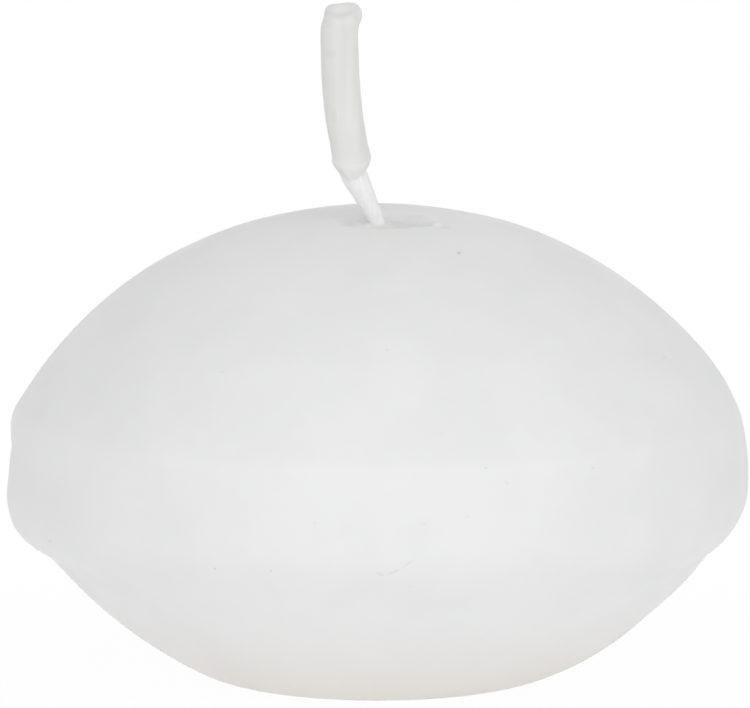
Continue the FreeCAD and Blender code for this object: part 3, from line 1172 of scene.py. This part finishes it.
@dataclass
class WaxBody:
    """Skin of the body: turned lens with a hand-dipped surface, sink mark, channel and seat.

    Attributes:
        profile: Its half section.
        sink: The sink mark in its crown.
        chip: The chip beside that.
        around: Points round it.
        fine_edge: Radius up to which the crown's rows are fine.
        fine_gap: Gap between those.
        wide_rows: Rows from there to the neck.
        front: Angle of its front.
        front_fill: Angles from the front, in degrees, over which the crease turns crisp.
        back_fill: Angles from the front, in degrees, over which it fills again.
        back_share: How far it fills there.
        crease_reach: Reach of the filling, up and down.
        crisp: Width of the average that rounds the corners.
        dipped: Width of the average where the dip fills the crease.
        flank_width: Width of the flanks' swells.
        swells_from: Lengths under the neck between which the swells set in.
        swells_to: Heights over the base between which they fade out.
        lifts_from: Heights between which the crown's lifts set in.
        seat_at: Middle of the disc's seat.
        seat_radius: Radius of the seat.
        seat_depth: Depth of the seat.
        bore_radius: Radius of the wick's channel.
        mouth_radius: Radius of its mouth.
        mouth_drop: How far the mouth lies under the surface.
        mouth_narrows: Shares of the channel's height between which it narrows.
        bore_rows: First and last share of its height that has a row, and the rows' count.
    """

    profile: LensProfile = field(default_factory=LensProfile)
    sink: SinkMark = field(default_factory=SinkMark)
    chip: Chip = field(default_factory=Chip)
    around: int = 288
    fine_edge: float = 4.6
    fine_gap: float = 0.105
    wide_rows: int = 20
    front: float = -math.pi / 2.0
    front_fill: Pair = (34.0, 62.0)
    back_fill: Pair = (125.0, 165.0)
    back_share: float = 0.45
    crease_reach: float = 3.2
    crisp: float = 0.26
    dipped: float = 1.5
    flank_width: float = 0.6
    swells_from: Pair = (0.5, 4.0)
    swells_to: Pair = (0.1, 1.2)
    lifts_from: Pair = (22.0, 26.0)
    seat_at: float = 0.5
    seat_radius: float = 5.15
    seat_depth: float = 0.45
    bore_radius: float = 0.65
    mouth_radius: float = 0.28
    mouth_drop: float = 0.12
    mouth_narrows: Pair = (0.9, 0.97)
    bore_rows: tuple[float, float, int] = (0.03, 0.985, 30)
    SWELLS: ClassVar[tuple[Swell, ...]] = (
        Swell(Flank.LEFT, 15.8, 0.9, 0.15),
        Swell(Flank.LEFT, 14.2, 0.6, -0.08),
        Swell(Flank.LEFT, 11.3, 0.9, 0.1),
        Swell(Flank.LEFT, 9.3, 1.25, 0.31),
        Swell(Flank.LEFT, 24.5, 2.0, 0.05),
        Swell(Flank.RIGHT, 19.4, 2.4, 0.17),
        Swell(Flank.RIGHT, 13.6, 1.9, 0.1),
        Swell(Flank.RIGHT, 9.4, 0.9, -0.17),
        Swell(Flank.RIGHT, 6.2, 1.4, 0.14),
        Swell(Flank.RIGHT, 16.7, 0.8, -0.1),
        Swell(Flank.RIGHT, 10.5, 0.6, -0.06),
        Swell(Flank.RIGHT, 1.9, 2.0, 0.38),
    )
    # Waves of the dip over the angle and the height: two crossed ones and one that winds
    WAVES: ClassVar[tuple[Wave, Wave]] = (Wave(0.02, 3.0, start=0.4), Wave(1.0, 0.0, 0.31))
    WINDING_WAVE: ClassVar[Wave] = Wave(0.012, 7.0, 0.22)
    # Rise, place to the right and width of each part of the crown that stands higher
    LIFTS: ClassVar[tuple[Point, ...]] = ((0.07, 8.3, 2.6), (0.035, -8.3, 2.2), (0.028, 0.0, 3.2))

    def lift(self, x: np.ndarray, height: np.ndarray) -> np.ndarray:
        """How far the dome stands over the turned one at its crown and beside it."""
        rise = sum(rise * bell(x, middle, width) for rise, middle, width in self.LIFTS)
        return rise * smooth_step(*self.lifts_from, height)

    def crown_rows(self, hole: np.ndarray) -> list[np.ndarray]:
        """Rows from the wick's hole out to the neck of the crown.

        Args:
            hole: Middle of the hole.

        Returns:
            Rings of points.
        """
        turn = spread(self.around)
        edge, neck = self.fine_edge, self.profile.neck
        fine = np.arange(self.mouth_radius, edge, self.fine_gap)
        rows = []
        for radius in np.concatenate([fine, np.linspace(edge, neck, self.wide_rows)[1:]]):
            share = 1.0 - float(np.clip((radius - edge) / (neck - edge), 0.0, 1.0))
            x = hole[0] * share + radius * np.cos(turn)
            y = hole[1] * share + radius * np.sin(turn)
            z = self.profile.crown_height(np.hypot(x, y)) - self.sink.at(x, y) - self.chip.at(x, y)
            rows.append(np.stack([x, y, z + self.lift(x, z)], axis=-1))
        return rows

    def swell(self, turn: np.ndarray, height: np.ndarray) -> np.ndarray:
        """How far the dipped surface stands off the turned one.

        Args:
            turn: Angles round the body.
            height: Heights.

        Returns:
            Rise at each place.
        """
        weight = {flank: facing(turn, flank.value, self.flank_width) for flank in Flank}
        total = crossed(self.WAVES, turn, height) + self.WINDING_WAVE.at(turn, height)
        for swell in self.SWELLS:
            rise = swell.rise * bell(height, swell.height, swell.reach)
            total = total + rise * weight[swell.flank]
        return total

    def filling(self, turn: np.ndarray) -> np.ndarray:
        """Share of the crease that the dip fills: all at the front and some at the back.

        Args:
            turn: Angles round the body.

        Returns:
            Share at each.
        """
        off_front = np.abs(turned(turn, self.front))
        filled = 1.0 - smooth_step(*np.radians(self.front_fill), off_front)
        return filled + self.back_share * smooth_step(*np.radians(self.back_fill), off_front)

    def side_rows(self) -> list[np.ndarray]:
        """Rows down the shoulder, band, crease and bowl to the edge of the base flat.

        Returns:
            Rings of points.
        """
        line = self.profile.line()
        crisp = self.profile.blunted(line, self.crisp)
        dipped = self.profile.blunted(line, self.dipped)
        crease = self.profile.length_to(line, "crease")
        turn = spread(self.around)
        filled = self.filling(turn)
        rows = []
        for place in self.profile.stations(line):
            s = place * self.profile.step
            share = float(bell(s, crease, self.crease_reach)) * filled
            out = crisp[place, 0] * (1.0 - share) + dipped[place, 0] * share
            height = crisp[place, 1] * (1.0 - share) + dipped[place, 1] * share
            fade = smooth_step(*self.swells_from, s) * smooth_step(*self.swells_to, height.mean())
            out = out + float(fade) * self.swell(turn, height)
            height = height + self.lift(out * np.cos(turn), height)
            rows.append(np.stack([out * np.cos(turn), out * np.sin(turn), height], axis=-1))
        return rows

    def base_rows(self) -> list[np.ndarray]:
        """Rows over the base flat, up the wall of the seat and in under the disc.

        Returns:
            Rings of points.
        """
        base, seat, deep = self.profile.base, self.seat_radius, self.seat_depth
        # Radius and height of each row, and how far it has moved from the axis to the seat's
        rows = [(base, 0.0, 0.0), (base - 0.4, 0.0, 0.1), (0.5 * (base + seat), 0.0, 0.5)]
        rows += [(seat + 0.16, 0.0, 1.0), (seat + 0.05, 0.02, 1.0), (seat, 0.08, 1.0)]
        rows += [(seat, deep - 0.05, 1.0), (seat - 0.05, deep, 1.0)]
        rows += [(radius, deep, 1.0) for radius in (3.6, 2.2, 1.0)]
        turn = spread(self.around)
        across, back, flat = np.cos(turn), np.sin(turn), np.zeros_like(turn)
        return [
            np.stack([self.seat_at * share + out * across, out * back, flat + up], axis=-1)
            for out, up, share in rows
        ]

    def channel_rows(self, line: WickLine, top: float) -> list[np.ndarray]:
        """Rows up the wick's channel, from the seat to its narrow mouth.

        Args:
            line: The wick's centre line.
            top: Height of the mouth.

        Returns:
            Rings of points.
        """
        turn = spread(self.around)
        ring = np.stack([np.cos(turn), np.sin(turn), np.zeros_like(turn)], axis=-1)
        narrower = self.mouth_radius - self.bore_radius
        rows = []
        for share in np.linspace(*self.bore_rows):
            middle = line.at_height(self.seat_depth + share * (top - self.seat_depth))
            radius = self.bore_radius + narrower * float(smooth_step(*self.mouth_narrows, share))
            rows.append(middle + radius * ring)
        return rows

    def build(self, line: WickLine) -> bpy.types.Object:
        """Make the skin.

        Args:
            line: The wick's centre line, which the channel follows.

        Returns:
            The skin's object.
        """
        depth = float(self.sink.at(*np.array(self.sink.wick_at)))
        mouth = line.at_height(self.profile.top - depth - self.mouth_drop)
        rows = self.crown_rows(mouth) + self.side_rows() + self.base_rows()
        rows += self.channel_rows(line, mouth[2])
        return Tube("wax_body_skin", np.array(rows), Closing.LOOPED).object(48.0)

    def dress(self, piece: bpy.types.Object, finish: WaxFinish) -> None:
        """Give the skin its wax and let it stand for the solid."""
        mount(piece, "wax_body", finish.material())


# Wick, its coat and its sustainer


@dataclass
class Braid:
    """Braided cotton: yarns that wind both ways, one over the other, drawn thin above the wax.

    Attributes:
        line: The wick's centre line.
        crimped: Radius in the wax and the collar.
        thin: Radius where it leaves the wax.
        full: Radius under the coat.
        thins: Lengths between which it goes from the first to the second.
        fills: Where it goes from the second to the third: lengths from the first bend's end and
            from the second's.
        yarns: Yarns that wind each way.
        pitch: Length of one turn of a yarn.
        relief: Depth between the yarns.
        fluff: Share of that depth by which loose fibres vary it.
        around: Points round it.
        shown: Lengths that show, from the first bend's end and from the second's.
        shown_gap: Gap between the rings there.
        hidden_gaps: Gap between the rings below and above.
        end_gap: How far its end lies under the coat's tip.
    """

    line: WickLine
    crimped: float = 0.6
    thin: float = 0.44
    full: float = 0.87
    thins: Pair = (24.0, 27.0)
    fills: Pair = (-1.0, 0.7)
    yarns: int = 8
    pitch: float = 24.0
    relief: float = 0.035
    fluff: float = 0.5
    around: int = 96
    shown: Pair = (-1.6, 0.6)
    shown_gap: float = 0.05
    hidden_gaps: Pair = (0.35, 0.3)
    end_gap: float = 0.55
    # Waves of the loose fibres over the angle and the length
    FIBRES: ClassVar[tuple[Wave, Wave]] = (Wave(0.3, 9.0, 3.0), Wave(1.0, 5.0, 2.3))

    def radius(self, s: np.ndarray) -> np.ndarray:
        """Radius of the braid along the line.

        Args:
            s: Lengths along the wick.

        Returns:
            Radius at each.
        """
        first, last = self.line.neck_start + self.fills[0], self.line.coat_start + self.fills[1]
        foot = 1.0 - smooth_step(*self.thins, s)
        wider = (self.full - self.thin) * smooth_step(first, last, s)
        return self.thin + wider + (self.crimped - self.thin) * foot

    def yarn(self, s: np.ndarray, turn: np.ndarray, winding: Winding) -> np.ndarray:
        """Height of the yarns that wind one way, from 0 between them to 1 on top of one.

        Args:
            s: Lengths along the wick.
            turn: Angles round it.
            winding: The way.

        Returns:
            Height at each point.
        """
        way = winding.value
        wound = FULL_TURN * s / self.pitch
        phase = self.yarns * (turn - way * wound) / 2.0
        over = 0.5 + 0.5 * np.cos(self.yarns * (turn + way * wound) / 2.0 + 0.5 * math.pi * way)
        return np.sqrt(np.abs(np.cos(phase))) * (0.55 + 0.45 * over)

    def stations(self) -> np.ndarray:
        """Where the skin's rings lie, close together where the braid shows.

        Returns:
            Lengths along the wick.
        """
        first, last = self.line.neck_start + self.shown[0], self.line.coat_start + self.shown[1]
        shown = np.arange(first, last, self.shown_gap)
        below = np.arange(0.0, shown[0], self.hidden_gaps[0])
        above = np.arange(shown[-1] + 0.2, self.line.length - self.end_gap, self.hidden_gaps[1])
        return np.concatenate([below, shown, above])

    def build(self) -> bpy.types.Object:
        """Make the braid's skin.

        Returns:
            The skin's object.
        """
        places = self.stations()
        s, turn = places[:, None], spread(self.around)[None, :]
        height = np.maximum(*(self.yarn(s, turn, winding) for winding in Winding))
        uneven = 1.0 - height + self.fluff * crossed(self.FIBRES, turn, s)
        rings = self.line.rings(places, self.radius(s) - self.relief * uneven)
        return Tube("wick_braid", rings, Closing.CAPPED).object()

    def dress(self, piece: bpy.types.Object, finish: BraidFinish) -> None:
        """Give the braid its cotton and let it stand for the solid."""
        mount(piece, "wick", finish.material())


@dataclass(frozen=True)
class Bulge:
    """Place where the sleeve stands out on one side, or in where its rise is below 0."""

    rise: float
    middle: float
    reach: float
    flank: Flank

    def at(self, s: np.ndarray, turn: np.ndarray) -> np.ndarray:
        """Rise at lengths along the sleeve and angles round it."""
        return self.rise * bell(s, self.middle, self.reach) * facing(turn, self.flank.value, 1.0)


@dataclass
class Coat:
    """Wax sleeve on the upper wick: ragged bevelled shoulder, rounded lip, filled top.

    Attributes:
        line: The wick's centre line.
        braid: The braid that it sits on.
        radius: Its radius.
        lap: How far it starts before the second bend's end.
        grip: How deep its edge sits in the braid.
        bevel: Length of its shoulder.
        lip: Radius of its lip.
        slant: Slope of its cut end to the front, in degrees.
        tilt: Slope of its cut end to the side, in degrees.
        slants: Lengths under its tip between which the slope sets in.
        squares: Lengths under its tip between which it turns squarish.
        edge: How far up the shoulder starts.
        edge_side: Half of what it starts lower by on the right.
        edge_front: What it starts lower by at the front.
        row_gap: Gap between its rings.
        lip_rings: Rings round its lip.
        around: Points round it.
    """

    line: WickLine
    braid: Braid
    radius: float = 1.14
    lap: float = 0.8
    grip: float = 0.05
    bevel: float = 1.1
    lip: float = 0.34
    slant: float = 14.0
    tilt: float = 5.0
    slants: Pair = (1.9, 0.3)
    squares: Pair = (1.3, 0.5)
    edge: float = 0.51
    edge_side: float = 0.12
    edge_front: float = 0.35
    row_gap: float = 0.09
    lip_rings: int = 8
    around: int = 96
    # Bulges of the lip, by the length under the tip, and of the shoulder, by that over its start
    LIP_BULGES: ClassVar[tuple[Bulge, ...]] = (
        Bulge(0.21, 0.45, 0.5, Flank.RIGHT),
        Bulge(-0.16, 0.35, 0.45, Flank.LEFT),
    )
    SHOULDER_BULGES: ClassVar[tuple[Bulge, ...]] = (
        Bulge(0.1, 0.6, 0.5, Flank.RIGHT),
        Bulge(0.06, 0.4, 0.4, Flank.LEFT),
    )
    # Rise, angle and width of each corner and flat of the squarish tip
    TIP_CORNERS: ClassVar[tuple[Point, ...]] = (
        (0.12, -0.24 * math.pi, 0.34),
        (0.12, -0.76 * math.pi, 0.34),
        (-0.08, -0.5 * math.pi, 0.34),
    )
    # Waves of the sleeve over the angle and the length, and of its ragged edge over the angle
    WAVES: ClassVar[tuple[Wave, ...]] = (
        Wave(0.014, 2.0, 0.55),
        Wave(0.01, 3.0, -1.1),
        Wave(0.006, 5.0, 2.3),
    )
    RAGS: ClassVar[tuple[Wave, ...]] = (Wave(0.06, 5.0, start=0.6), Wave(0.05, 11.0, start=1.9))
    # Share of the radius and height over the end of each ring of the domed top
    CAP: ClassVar[tuple[Pair, ...]] = (
        (0.66, 0.04), (0.55, 0.07), (0.4, 0.1), (0.22, 0.115), (0.07, 0.12),
    )

    def uneven(self, s: np.ndarray, turn: np.ndarray) -> np.ndarray:
        """How far the dipped sleeve stands off a round one.

        Args:
            s: Lengths along the wick.
            turn: Angles round it.

        Returns:
            Rise at each point.
        """
        below_top, over_start = self.line.length - s, s - self.line.coat_start
        total = sum(bulge.at(below_top, turn) for bulge in self.LIP_BULGES)
        total = total + sum(bulge.at(over_start, turn) for bulge in self.SHOULDER_BULGES)
        square = sum(rise * facing(turn, middle, width) for rise, middle, width in self.TIP_CORNERS)
        total = total + square * smooth_step(*self.squares, below_top)
        return rippled(self.WAVES, turn, s, total)

    def ragged(self, turn: np.ndarray) -> np.ndarray:
        """How far up the shoulder starts: lower on the right and at the front, and ragged.

        Args:
            turn: Angles round the wick.

        Returns:
            Length over the sleeve's start at each.
        """
        level = rippled(self.RAGS, turn, 0.0, self.edge - self.edge_side * (1.0 + np.cos(turn)))
        return level - self.edge_front * facing(turn, 0.5 * math.pi, 0.8)

    def slanted(self, s: np.ndarray, rings: np.ndarray) -> np.ndarray:
        """Rings near the tip pushed along the wick, because its end is cut at a slant.

        Args:
            s: Length along the wick of each ring.
            rings: The rings.

        Returns:
            The moved rings.
        """
        middle, side, tangent = self.line.frame(s)
        out = rings - middle[:, None, :]
        front = out @ self.line.forward
        right = np.einsum("ijk,ik->ij", out, side)
        start, end = (self.line.length - below for below in self.slants)
        slope, tilt = math.tan(math.radians(self.slant)), math.tan(math.radians(self.tilt))
        slide = smooth_step(start, end, s)[:, None] * (tilt * right - slope * front)
        return rings + slide[:, :, None] * tangent[:, None, :]

    def build(self) -> bpy.types.Object:
        """Make the sleeve.

        Returns:
            The sleeve's object.
        """
        start, end = self.line.coat_start - self.lap, self.line.length
        turn = spread(self.around)[None, :]
        body = np.arange(0.0, end - start - self.lip, self.row_gap)
        rise = smooth_step(0.0, 1.0, (body[:, None] - self.ragged(turn)) / self.bevel)
        inner = self.braid.radius(body + start)[:, None] - self.grip
        outer = inner + (self.radius - inner + self.uneven(body[:, None] + start, turn)) * rise
        places, radii = list(start + body), list(outer)
        for bend in np.linspace(0.0, math.pi / 2.0, self.lip_rings)[1:]:
            places.append(end - self.lip + self.lip * math.sin(bend))
            radii.append(outer[-1] - self.lip * (1.0 - math.cos(bend)))
        for share, dome in self.CAP:
            places.append(end + dome)
            radii.append(outer[-1] * share)
        s = np.array(places)
        rings = self.slanted(s, self.line.rings(s, np.array(radii)))
        return Tube("wick_coat_skin", rings, Closing.CAPPED).object()

    def dress(self, piece: bpy.types.Object, finish: WaxFinish) -> None:
        """Give the sleeve its wax and let it stand for the solid."""
        mount(piece, "wick_coat", finish.material())


@dataclass
class Sustainer:
    """Tinplate disc and crimped collar, as the solid has them."""

    node: bpy.types.Object

    def dress(self, finish: TinplateFinish) -> None:
        """Give the solid its tinplate.

        Args:
            finish: The tinplate.
        """
        self.node.data.materials.clear()
        self.node.data.materials.append(finish.material())
        LOG.info("%s keeps its solid", self.node.name)


# Studio, in metres


@dataclass(frozen=True)
class Softbox:
    """One soft lamp: azimuth from the front and elevation in degrees, sizes, power in watts."""

    name: str
    azimuth: float
    elevation: float
    distance: float
    width: float
    height: float
    power: float

    def hang(self, aim: Vector) -> None:
        """Add the lamp.

        Args:
            aim: Point that it is turned to.
        """
        turn, rise = math.radians(self.azimuth), math.radians(self.elevation)
        level = math.cos(rise)
        away = Vector((math.sin(turn) * level, -math.cos(turn) * level, math.sin(rise)))
        data = bpy.data.lights.new(self.name, "AREA")
        data.shape = "RECTANGLE"
        data.size, data.size_y = self.width, self.height
        data.energy = self.power
        lamp = bpy.data.objects.new(self.name, data)
        bpy.context.scene.collection.objects.link(lamp)
        lamp.location = aim + away * self.distance
        lamp.rotation_mode = "QUATERNION"
        lamp.rotation_quaternion = (-away).to_track_quat("-Z", "Y")


@dataclass(frozen=True)
class Viewpoint:
    """Camera at the photograph's angle.

    Attributes:
        elevation: Its height over the level, in degrees.
        distance: How far it is from the object's middle.
        middle: The object's middle.
        aim: Point in the middle of the frame.
        focal: Focal length in pixels of the frame.
        frame_width: Width of the frame in pixels.
        sensor: Width of the sensor in millimetres.
        clip: Nearest and farthest distance that shows.
    """

    elevation: float = 9.5
    distance: float = 1.184
    middle: Point = (0.0, 0.0, 0.014)
    aim: Point = (-0.000183, 0.0, 0.01987)
    focal: float = 19442.0
    frame_width: float = 750.0
    sensor: float = 36.0
    clip: Pair = (0.05, 20.0)

    def set_camera(self) -> None:
        """Add the camera and let the scene use it."""
        rise = math.radians(self.elevation)
        back = Vector((0.0, -math.cos(rise), math.sin(rise)))
        place = Vector(self.middle) + back * self.distance
        data = bpy.data.cameras.new("camera")
        data.sensor_fit = "HORIZONTAL"
        data.sensor_width = self.sensor
        data.lens = self.focal / self.frame_width * self.sensor
        data.clip_start, data.clip_end = self.clip
        camera = bpy.data.objects.new("camera", data)
        bpy.context.scene.collection.objects.link(camera)
        camera.location = place
        camera.rotation_mode = "QUATERNION"
        camera.rotation_quaternion = (Vector(self.aim) - place).to_track_quat("-Z", "Y")
        bpy.context.scene.camera = camera


@dataclass
class Studio:
    """White floor and backdrop, soft lamps and the camera.

    Attributes:
        lamps: The lamps.
        viewpoint: The camera.
        front_sky: Strength of the light from the front.
        front_overhead: The same from high up at the front.
        back_left_sky: The same from the back on the left.
        back_right_sky: The same from the back on the right.
        back_overhead: The same from high up at the back.
        side_span: Where the left turns into the right, as a share of the direction's length.
        back_span: Where the front turns into the back.
        high_span: Where the level turns into overhead.
        floor_half: Half the floor's width.
        floor_tone: Tone of the floor's cloth.
        floor_glow: Share of plain white in the floor as the object sees it.
        floor_share: The same near the foot as the camera sees it.
        floor_fade: Distances between which the camera sees it turn all white.
    """

    lamps: tuple[Softbox, ...]
    viewpoint: Viewpoint = field(default_factory=Viewpoint)
    front_sky: float = 0.865
    front_overhead: float = 0.95
    back_left_sky: float = 0.1
    back_right_sky: float = 0.42
    back_overhead: float = 0.57
    side_span: Pair = (-0.3, 0.3)
    back_span: Pair = (-0.15, 0.15)
    high_span: Pair = (0.3, 0.7)
    floor_half: float = 3.0
    floor_tone: float = 0.95
    floor_glow: float = 0.385
    floor_share: float = 0.97
    floor_fade: Pair = (0.018, 0.06)

    def floor_white(self) -> bpy.types.Material:
        """Build the floor's white, which is plain where it is seen and cloth where light falls.

        Returns:
            The material.
        """
        graph = Graph.of_material("floor_white")
        cloth = graph.add("ShaderNodeBsdfDiffuse")
        graph.feed(cloth.inputs["Color"], (self.floor_tone,) * 3)
        glow = graph.add("ShaderNodeEmission")
        graph.feed(glow.inputs["Color"], WHITE)
        far = graph.length(graph.place())
        share = graph.span(far, *self.floor_fade, self.floor_share, 1.0)
        shown = graph.joined(Join.PRODUCT, graph.seen(), share)
        mix = graph.add("ShaderNodeMixShader")
        graph.link(graph.joined(Join.LARGER, shown, self.floor_glow), mix.inputs[0])
        graph.link(cloth.outputs[0], mix.inputs[1])
        graph.link(glow.outputs[0], mix.inputs[2])
        graph.surface(mix.outputs[0])
        return graph.owner

    def lay_floor(self) -> None:
        """Lay a wide white floor that keeps the object's shadow."""
        half = self.floor_half
        corners = [(-half, -half, 0.0), (half, -half, 0.0), (half, half, 0.0), (-half, half, 0.0)]
        mesh = bpy.data.meshes.new("floor")
        mesh.from_pydata(corners, [], [(0, 1, 2, 3)])
        mesh.materials.append(self.floor_white())
        floor = bpy.data.objects.new("floor", mesh)
        bpy.context.scene.collection.objects.link(floor)

    def paint_world(self) -> None:
        """Light from all round at a plain level, with white where it is seen."""
        graph = Graph(bpy.data.worlds.new("studio"), "ShaderNodeOutputWorld")
        bpy.context.scene.world = graph.owner
        back = graph.add("ShaderNodeBackground")
        graph.feed(back.inputs["Color"], WHITE)
        axes = graph.axes(graph.add("ShaderNodeTexCoord").outputs["Generated"])
        level = graph.span(axes["X"], *self.side_span, self.back_left_sky, self.back_right_sky)
        level = graph.span(axes["Z"], *self.high_span, level, self.back_overhead)
        front = graph.span(axes["Z"], *self.high_span, self.front_sky, self.front_overhead)
        level = graph.span(axes["Y"], *self.back_span, front, level)
        graph.link(graph.span(graph.seen(), 0.0, 1.0, level, 1.0), back.inputs["Strength"])
        graph.surface(back.outputs[0])

    def build(self) -> None:
        """Set up the whole studio."""
        self.lay_floor()
        self.paint_world()
        for lamp in self.lamps:
            lamp.hang(Vector(self.viewpoint.middle))
        self.viewpoint.set_camera()
        bpy.context.scene.view_settings.view_transform = "Standard"


# The candle's own marks, finishes and lamps

BODY_MARKS = (
    Mark(MarkKind.SPECK, (4.89, -7.63, 27.29), 0.16, 0.1, 0.75, reach=0.5),
    Mark(MarkKind.SPECK, (0.54, -16.81, 22.84), 0.14, 0.08, 0.2),
    Mark(MarkKind.SPECK, (17.29, -7.46, 20.9), 0.14, 0.08, 0.25),
    Mark(MarkKind.SPECK, (-9.37, -15.85, 21.34), 0.14, 0.08, 0.2),
    Mark(MarkKind.SPECK, (3.71, -20.54, 18.35), 0.12, 0.08, 0.2),
    Mark(MarkKind.SPECK, (6.46, -21.1, 16.38), 0.22, 0.08, 0.35, tilt=-20.0),
    Mark(MarkKind.SPECK, (7.72, -20.83, 15.43), 0.16, 0.08, 0.3, tilt=-30.0),
    Mark(MarkKind.SPECK, (12.89, -18.02, 15.87), 0.14, 0.08, 0.25),
    Mark(MarkKind.SPECK, (2.75, -22.26, 13.19), 0.13, 0.08, 0.3),
    Mark(MarkKind.SPECK, (5.32, -21.78, 13.53), 0.13, 0.08, 0.22),
    Mark(MarkKind.SPECK, (-3.77, -22.11, 13.22), 0.13, 0.08, 0.22),
    Mark(MarkKind.SPECK, (-9.77, -19.94, 10.05), 0.1, 0.1, 0.6),
    Mark(MarkKind.SPECK, (-6.4, -21.3, 10.17), 0.12, 0.12, 0.35),
    Mark(MarkKind.SPECK, (1.97, -21.62, 9.25), 0.12, 0.08, 0.25),
    Mark(MarkKind.SPECK, (-19.82, -10.08, 10.12), 0.2, 0.2, 0.25),
    Mark(MarkKind.SPECK, (9.09, -7.83, 1.12), 0.16, 0.1, 0.3),
    Mark(MarkKind.SCRATCH, (0.12, -22.2, 10.11), 0.42, 0.12, 0.3, tilt=-28.0),
    Mark(MarkKind.SCRATCH, (0.95, -22.25, 10.26), 0.65, 0.11, 0.3, tilt=24.0),
    Mark(MarkKind.SCRATCH, (1.8, -22.25, 10.78), 0.6, 0.1, 0.22, tilt=36.0),
    # Painted shade: two patches in the sink mark beside the wick, two at the chip
    Mark(MarkKind.PAINTED_SHADE, (1.65, -2.5, 27.9), 2.2, 1.3, 0.5, reach=2.3, core=0.75),
    Mark(MarkKind.PAINTED_SHADE, (-2.0, -2.9, 27.9), 0.9, 1.3, 0.25, reach=2.2, core=0.6),
    Mark(MarkKind.PAINTED_SHADE, (3.05, -3.3, 28.4), 0.35, 0.4, 0.6, reach=0.9, core=0.4),
    Mark(MarkKind.PAINTED_SHADE, (4.1, -3.5, 28.3), 0.35, 0.4, 0.6, reach=0.9, core=0.4),
    Mark(MarkKind.STAIN_AND_PAINTED_LIGHT, (2.0, -2.2, 28.0), 0.28, 0.45, 0.5, reach=1.0),
    Mark(MarkKind.FIRM, (0.0, -2.5, 28.2), 2.0, 1.8, 1.0, reach=1.9, core=0.5),
    Mark(MarkKind.STAIN_AND_PAINTED_LIGHT, (0.1, -5.8, 28.15), 1.8, 0.6, 0.22, reach=1.6),
)

COAT_MARKS = (
    Mark(MarkKind.SPECK, (-2.9, -4.3, 38.95), 0.5, 0.4, 0.2, reach=0.8),
    Mark(MarkKind.SPECK, (-2.7, -4.0, 35.1), 0.3, 0.6, 0.18, reach=0.8),
    Mark(MarkKind.SPECK, (-1.35, -4.2, 41.15), 0.3, 0.28, 0.3, reach=0.6),
    # Pale cut end of the wick, with painted light that brightens the top face
    Mark(MarkKind.STAIN_AND_PAINTED_LIGHT, (-2.28, -3.5, 41.6), 1.05, 0.6, 0.6, reach=1.0, core=0.1),
    Mark(MarkKind.FIRM, (-1.5, -2.65, 31.5), 1.8, 1.2, 1.0, reach=1.8, core=0.5),
)

BODY_FINISH = WaxFinish(
    name="body_wax_white",
    colour=(0.86, 0.862, 0.862),
    cloud=(0.84, 0.842, 0.844),
    # Painted warm reflection of the floor, with painted shade, fading out over the lowest 7 mm
    foot=(0.843, 0.812, 0.77),
    stain=(0.83, 0.825, 0.74),
    # Tone of the painted shade in the sink mark and at the chip
    hollow=(0.7, 0.7, 0.68),
    mark=(0.58, 0.57, 0.54),
    roughness=0.4,
    scatter=0.55,
    depth=0.9,
    ripple=0.05,
    grain=0.0022,
    foot_height=7.0,
    marks=BODY_MARKS,
)

COAT_FINISH = WaxFinish(
    name="coat_wax_grey",
    colour=(0.825, 0.823, 0.81),
    cloud=(0.8, 0.798, 0.785),
    foot=(0.87, 0.87, 0.855),
    # Pale cut end of the wick, with painted light that brightens the coat's top face
    stain=(0.95, 0.95, 0.94),
    mark=(0.6, 0.59, 0.54),
    roughness=0.36,
    scatter=0.25,
    depth=0.25,
    ripple=0.03,
    grain=0.004,
    foot_height=1.6,
    foot_from=31.3,
    streak=(0.77, 0.77, 0.75),
    marks=COAT_MARKS,
)

BRAID_FINISH = BraidFinish(
    name="braided_cotton",
    colour=(0.95, 0.95, 0.945),
    shade=(0.87, 0.87, 0.865),
    roughness=0.45,
    fibre=0.006,
)

TIN_FINISH = TinplateFinish(
    name="rolled_tinplate",
    colour=(0.66, 0.66, 0.65),
    dull=(0.46, 0.46, 0.46),
    roughness=0.34,
)

LAMPS = (
    Softbox("front_box", 4.0, 9.0, 0.75, 0.95, 0.2, 0.64),
    Softbox("left_box", -49.0, 8.0, 0.75, 0.12, 0.14, 0.12),
    Softbox("right_box", 57.0, 8.0, 0.75, 0.12, 0.14, 0.17),
)


def main() -> None:
    """Build and dress every piece, then the studio."""
    logging.basicConfig(level=logging.INFO, format="%(name)s: %(message)s")
    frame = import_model()

    line = WickLine()
    body = WaxBody()
    body.dress(body.build(line), BODY_FINISH)
    braid = Braid(line)
    braid.dress(braid.build(), BRAID_FINISH)
    coat = Coat(line, braid)
    coat.dress(coat.build(), COAT_FINISH)
    Sustainer(frame["nodes"]["wick_sustainer"]).dress(TIN_FINISH)
    Studio(LAMPS).build()


if __name__ == "__main__":
    main()
